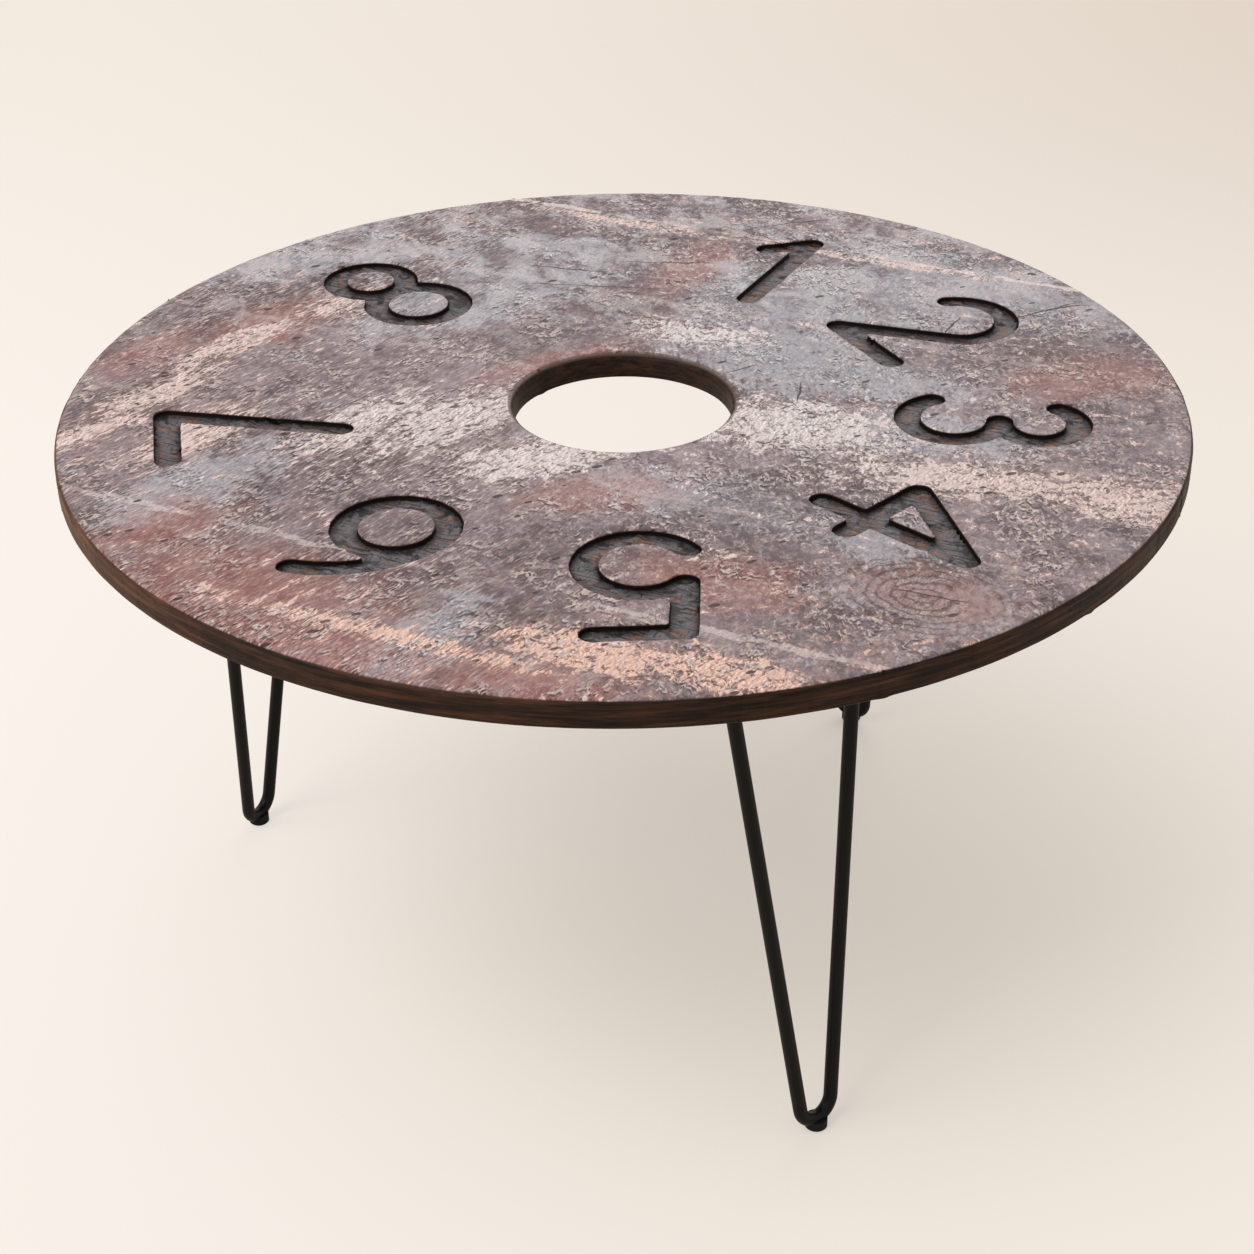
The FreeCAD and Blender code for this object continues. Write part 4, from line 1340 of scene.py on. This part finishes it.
    def warm_streaks(self, way, rim):
        """Draw the warm streaks of the stain, most of all on the left of the rim."""
        graph = self.graph
        warm = graph.fade(graph.laid_clouds(way, *WARM_CLOUDS), *WARM_FADE)
        warm = graph.times(warm, graph.span(self.rim_warmth, *WARM_SHARES))
        warm = graph.plus(warm, graph.times(self.rim_warmth, WARM_LEFT_SHARE))
        return graph.times(warm, graph.span(rim, *WARM_RIM_SHARES))

    def stain(self, grain_tree):
        """Stain the bare wood of the rim, the hole and the underside."""
        graph = self.graph
        along, across, up = graph.parts(graph.laid(self.place, GRAIN_DEGREES))
        boards = graph.math("DIVIDE", graph.minus(across, PANEL_FRONT / MM), BOARD_WIDTH / MM)
        board = graph.math("FLOOR", boards)
        flat = graph.joined(graph.plus(along, graph.times(board, BOARD_SHIFT)), across, up)
        round_place = graph.joined(graph.times(self.angle, RIM_RADIUS / MM), self.depth)
        under = graph.fade(self.facing, *UNDER_FACING)
        way = graph.add("ShaderNodeMix", {0: under, 4: round_place, 5: flat}, data_type="VECTOR").outputs[1]
        wood = place_group(graph, grain_tree, {"Place": way, "Dark": STAIN_DARK, "Light": STAIN_LIGHT})
        rim = graph.fade(self.radius, *RIM_FADE)
        colour = graph.blend(self.warm_streaks(way, rim), wood["Colour"], STAIN_WARM)
        board_tone = graph.clouds(graph.joined(board), BOARD_TONE_SIZE)
        colour = graph.blend(graph.times(under, board_tone), colour, STAIN_DARK)
        joint = graph.fade(graph.apart(graph.math("FRACT", boards), 0.5), *JOINT_FADE)
        colour = graph.blend(graph.times(joint, under), colour, STAIN_DARK)
        self.lay(self.radius, HOLE_BEVEL, BEVEL)
        bare = graph.most(graph.most(rim, graph.fade(self.radius, *HOLE_FADE)), under)
        self.colour = graph.blend(bare, self.colour, colour)
        self.relief = graph.cross(bare, self.relief, wood["Height"])


def make_painted_wood(grain_tree, patch_tree):
    """Make the worn paint of the top, with stained wood at its rim, hole and underside."""
    material, graph, surface, place = new_material("painted_boards")
    paint = WornPaint(graph, place, patch_tree)
    paint.find_strokes()
    paint.find_knot()
    paint.lay_ground()
    paint.lay_cool_plates()
    paint.lay_umber()
    paint.lay_dabs()
    paint.lay_rust()
    paint.lay_flakes()
    paint.lay_seam_lines()
    paint.lay_marks()
    paint.lay_curls()
    paint.lay_pits()
    paint.lay_cracks()
    paint.lay_knot()
    paint.emboss()
    paint.rout()
    paint.stain(grain_tree)
    graph.feed(surface.inputs["Base Color"], paint.colour)
    roughness = graph.span(paint.grain, *PAINT_ROUGHNESS)
    roughness = graph.plus(roughness, graph.times(paint.flakes, FLAKE_ROUGHNESS))
    graph.feed(surface.inputs["Roughness"], roughness)
    surface.inputs["Specular IOR Level"].default_value = PAINT_GLOSS
    raise_surface(graph, surface, paint.relief, PAINT_RELIEF)
    return material


# Other materials

DOWEL_DARK = srgb(176, 134, 92)
DOWEL_LIGHT = srgb(212, 176, 132)
DOWEL_ROUGHNESS = 0.65
DOWEL_RELIEF = 0.1 * MM
CLOUD_SHARE = 0.7
PEBBLE_SHARE = 0.3
SMOOTHER = 0.08
ROUGHER = 0.1
FINISH_GLOSS = 0.15

# Coated and moulded finishes: the dark and light colours, the roughness, the grain's size in millimetres,
# the relief and how much of a metal it is
FINISHES = {
    "black_steel": (srgb(6, 6, 6), srgb(18, 17, 16), 0.4, 0.8, 0.06 * MM, 0.0),
    "screw_steel": (srgb(42, 41, 42), srgb(88, 87, 88), 0.38, 0.4, 0.03 * MM, 1.0),
    "glide_plastic": (srgb(18, 18, 19), srgb(30, 30, 31), 0.6, 0.5, 0.05 * MM, 0.0),
}


def make_dowel_wood(grain_tree):
    """Make the pale wood of the dowels, which lie across the boards."""
    material, graph, surface, place = new_material("dowel_wood")
    across = graph.laid(place, GRAIN_DEGREES + 90)
    grain = place_group(graph, grain_tree, {"Place": across, "Dark": DOWEL_DARK, "Light": DOWEL_LIGHT})
    graph.feed(surface.inputs["Base Color"], grain["Colour"])
    surface.inputs["Roughness"].default_value = DOWEL_ROUGHNESS
    raise_surface(graph, surface, grain["Height"], DOWEL_RELIEF)
    return material


def make_finish(name, grain_tree):
    """Make a dark coat or moulding with a fine pebbled skin."""
    dark, light, roughness, size, relief, metal = FINISHES[name]
    material, graph, surface, place = new_material(name)
    grain = place_group(graph, grain_tree, {"Place": place, "Size": size})
    pebbles = graph.times(grain["Pebbles"], PEBBLE_SHARE)
    share = graph.plus(graph.times(grain["Clouds"], CLOUD_SHARE), pebbles)
    graph.feed(surface.inputs["Base Color"], graph.blend(share, dark, light))
    graph.feed(surface.inputs["Roughness"], graph.span(share, roughness - SMOOTHER, roughness + ROUGHER))
    surface.inputs["Metallic"].default_value = metal
    surface.inputs["Specular IOR Level"].default_value = FINISH_GLOSS
    raise_surface(graph, surface, grain["Pebbles"], relief)
    return material


def dress(node, material):
    """Give a solid from the frame its material."""
    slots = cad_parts[node].data.materials
    slots.clear()
    slots.append(material)


# Stage

FLOOR_REACH = 9.0
FLOOR_SIDES = 96
FLOOR_COLOUR = srgb(244, 231, 217)
FLOOR_ROUGHNESS = 0.8
FLOOR_GLOSS = 0.1
# Painted light in the floor's glow: lighter on the left and darker at the back right
FLOOR_GLOW_LEFT = srgb(255, 250, 244)
FLOOR_GLOW_FRONT = srgb(244, 235, 226)
FLOOR_GLOW_BACK = srgb(204, 192, 180)
FLOOR_GLOW_REACH = 1.3
FLOOR_GLOW_FADE = (0.5, 2.3)
FLOOR_GLOW_SHARES = (0.78, 0.5)
# Painted shadow: where, how widely and how much the floor's glow is dimmed under the table
SHADOW_MIDDLE = (0.13, 0.02, 0)
SHADOW_FADE = (0.6, 0.1)
SHADOW_SHARE = 0.55
WORLD_COLOUR = srgb(250, 246, 242)
WORLD_LEVEL = 0.55
BACKGROUND_LEVEL = 0.9
CAMERA_PLACE = (0, -1.6657, 1.2355)
CAMERA_PITCH = math.radians(30.958)
CAMERA_YAW = math.radians(0.028)
CAMERA_ROLL = math.radians(-0.717)
CAMERA_LENS = 74.23
CAMERA_SENSOR = 36

# Lamps: the place, the width, the height, the power and the colour. All of them face the table.
LAMPS = {
    "key": (Vector((-2.0, -1.4, 2.8)), 2.4, 2.4, 70, (1, 0.99, 0.98)),
    "back": (Vector((0.9, 3.0, 2.2)), 2.6, 1.6, 36, (0.92, 0.96, 1)),
}
LAMP_TARGET = Vector((0, 0, 0.4))


def floor_glow(graph):
    """Give the floor's own glow, and how much of it the camera sees: less under the table. The glow is
    painted light, lighter on the left and darker at the back right, and its dimming under the table is a
    painted shadow over the real one.
    """
    place = graph.add("ShaderNodeTexCoord").outputs["Object"]
    across, along, up = graph.parts(place)
    rightness = graph.fade(across, -FLOOR_GLOW_REACH, FLOOR_GLOW_REACH)
    farness = graph.fade(along, *FLOOR_GLOW_FADE)
    right = graph.blend(farness, FLOOR_GLOW_FRONT, FLOOR_GLOW_BACK)
    glow = graph.add("ShaderNodeEmission", {"Color": graph.blend(rightness, FLOOR_GLOW_LEFT, right)})
    # Painted shadow: the glow is dimmed under the table at a fixed place
    shadow = graph.fade(graph.distance(place, SHADOW_MIDDLE), *SHADOW_FADE)
    share = graph.times(graph.cross(farness, *FLOOR_GLOW_SHARES), graph.span(shadow, 1, 1 - SHADOW_SHARE))
    seen = graph.add("ShaderNodeLightPath").outputs["Is Camera Ray"]
    return glow.outputs[0], graph.times(seen, share)


def make_floor():
    """Lay a wide pale floor that keeps the table's shadow, and is clear from below."""
    bm = bmesh.new()
    bmesh.ops.create_circle(bm, cap_ends=True, segments=FLOOR_SIDES, radius=FLOOR_REACH)
    floor = bm_object("floor", bm)
    material = bpy.data.materials.new("studio_floor")
    material.use_nodes = True
    graph = Graph(material.node_tree)
    surface = material.node_tree.nodes["Principled BSDF"]
    surface.inputs["Base Color"].default_value = FLOOR_COLOUR
    surface.inputs["Roughness"].default_value = FLOOR_ROUGHNESS
    surface.inputs["Specular IOR Level"].default_value = FLOOR_GLOSS
    glow, share = floor_glow(graph)
    both = graph.add("ShaderNodeMixShader", {0: share, 1: surface.outputs[0], 2: glow})
    below = graph.add("ShaderNodeNewGeometry").outputs["Backfacing"]
    clear = graph.add("ShaderNodeBsdfTransparent")
    seen = graph.add("ShaderNodeMixShader", {0: below, 1: both.outputs[0], 2: clear.outputs[0]})
    graph.feed(material.node_tree.nodes["Material Output"].inputs["Surface"], seen.outputs[0])
    floor.data.materials.append(material)


def make_world():
    """Fill the room with even soft light, and show a pale background."""
    world = bpy.data.worlds.new("studio")
    bpy.context.scene.world = world
    world.use_nodes = True
    graph = Graph(world.node_tree)
    background = world.node_tree.nodes["Background"]
    background.inputs["Color"].default_value = WORLD_COLOUR
    path = graph.add("ShaderNodeLightPath").outputs
    seen = graph.most(path["Is Camera Ray"], path["Is Glossy Ray"])
    seen = graph.most(seen, path["Is Transmission Ray"])
    graph.feed(background.inputs["Strength"], graph.cross(seen, WORLD_LEVEL, BACKGROUND_LEVEL))


def make_lamp(name):
    """Hang one soft lamp."""
    place, width, height, power, colour = LAMPS[name]
    lamp = bpy.data.lights.new(name, "AREA")
    lamp.shape = "RECTANGLE"
    lamp.size = width
    lamp.size_y = height
    lamp.energy = power
    lamp.color = colour
    holder = bpy.data.objects.new(name, lamp)
    holder.location = place
    holder.rotation_euler = (LAMP_TARGET - place).to_track_quat("-Z", "Y").to_euler()
    bpy.context.scene.collection.objects.link(holder)


def make_camera():
    """Set the camera at the photograph's place and angle."""
    forward = Vector((
        math.sin(CAMERA_YAW) * math.cos(CAMERA_PITCH),
        math.cos(CAMERA_YAW) * math.cos(CAMERA_PITCH),
        -math.sin(CAMERA_PITCH),
    ))
    right = Vector((math.cos(CAMERA_YAW), -math.sin(CAMERA_YAW), 0))
    up = right.cross(forward)
    level = Matrix((right, up, -forward)).transposed()
    camera = bpy.data.cameras.new("camera")
    camera.lens = CAMERA_LENS
    camera.sensor_width = CAMERA_SENSOR
    holder = bpy.data.objects.new("camera", camera)
    turned = level @ Matrix.Rotation(CAMERA_ROLL, 3, "Z")
    holder.matrix_world = Matrix.Translation(CAMERA_PLACE) @ turned.to_4x4()
    bpy.context.scene.collection.objects.link(holder)
    bpy.context.scene.camera = holder


def make_stage():
    """Set up the floor, the light and the camera."""
    make_floor()
    make_world()
    for name in LAMPS:
        make_lamp(name)
    make_camera()
    bpy.context.scene.view_settings.view_transform = "Standard"


def make_table():
    """Make and dress every piece of the table."""
    wood_grain = make_wood_grain()
    fine_grain = make_fine_grain()
    painted_boards = make_painted_wood(wood_grain, make_soft_patch())
    dowel_wood = make_dowel_wood(wood_grain)
    finishes = {name: make_finish(name, fine_grain) for name in FINISHES}
    make_boards(painted_boards)
    screw_mesh = make_screw_mesh()
    for leg in LEGS:
        make_screws(leg, screw_mesh, finishes["screw_steel"])
        make_welds(leg, finishes["black_steel"])
        dress(f"{leg}_leg_rod", finishes["black_steel"])
        dress(f"{leg}_leg_plate", finishes["black_steel"])
        dress(f"{leg}_leg_glide", finishes["glide_plastic"])
    for number in range(1, BOARD_COUNT):
        dress(f"seam_dowels_{number}", dowel_wood)


make_table()
make_stage()
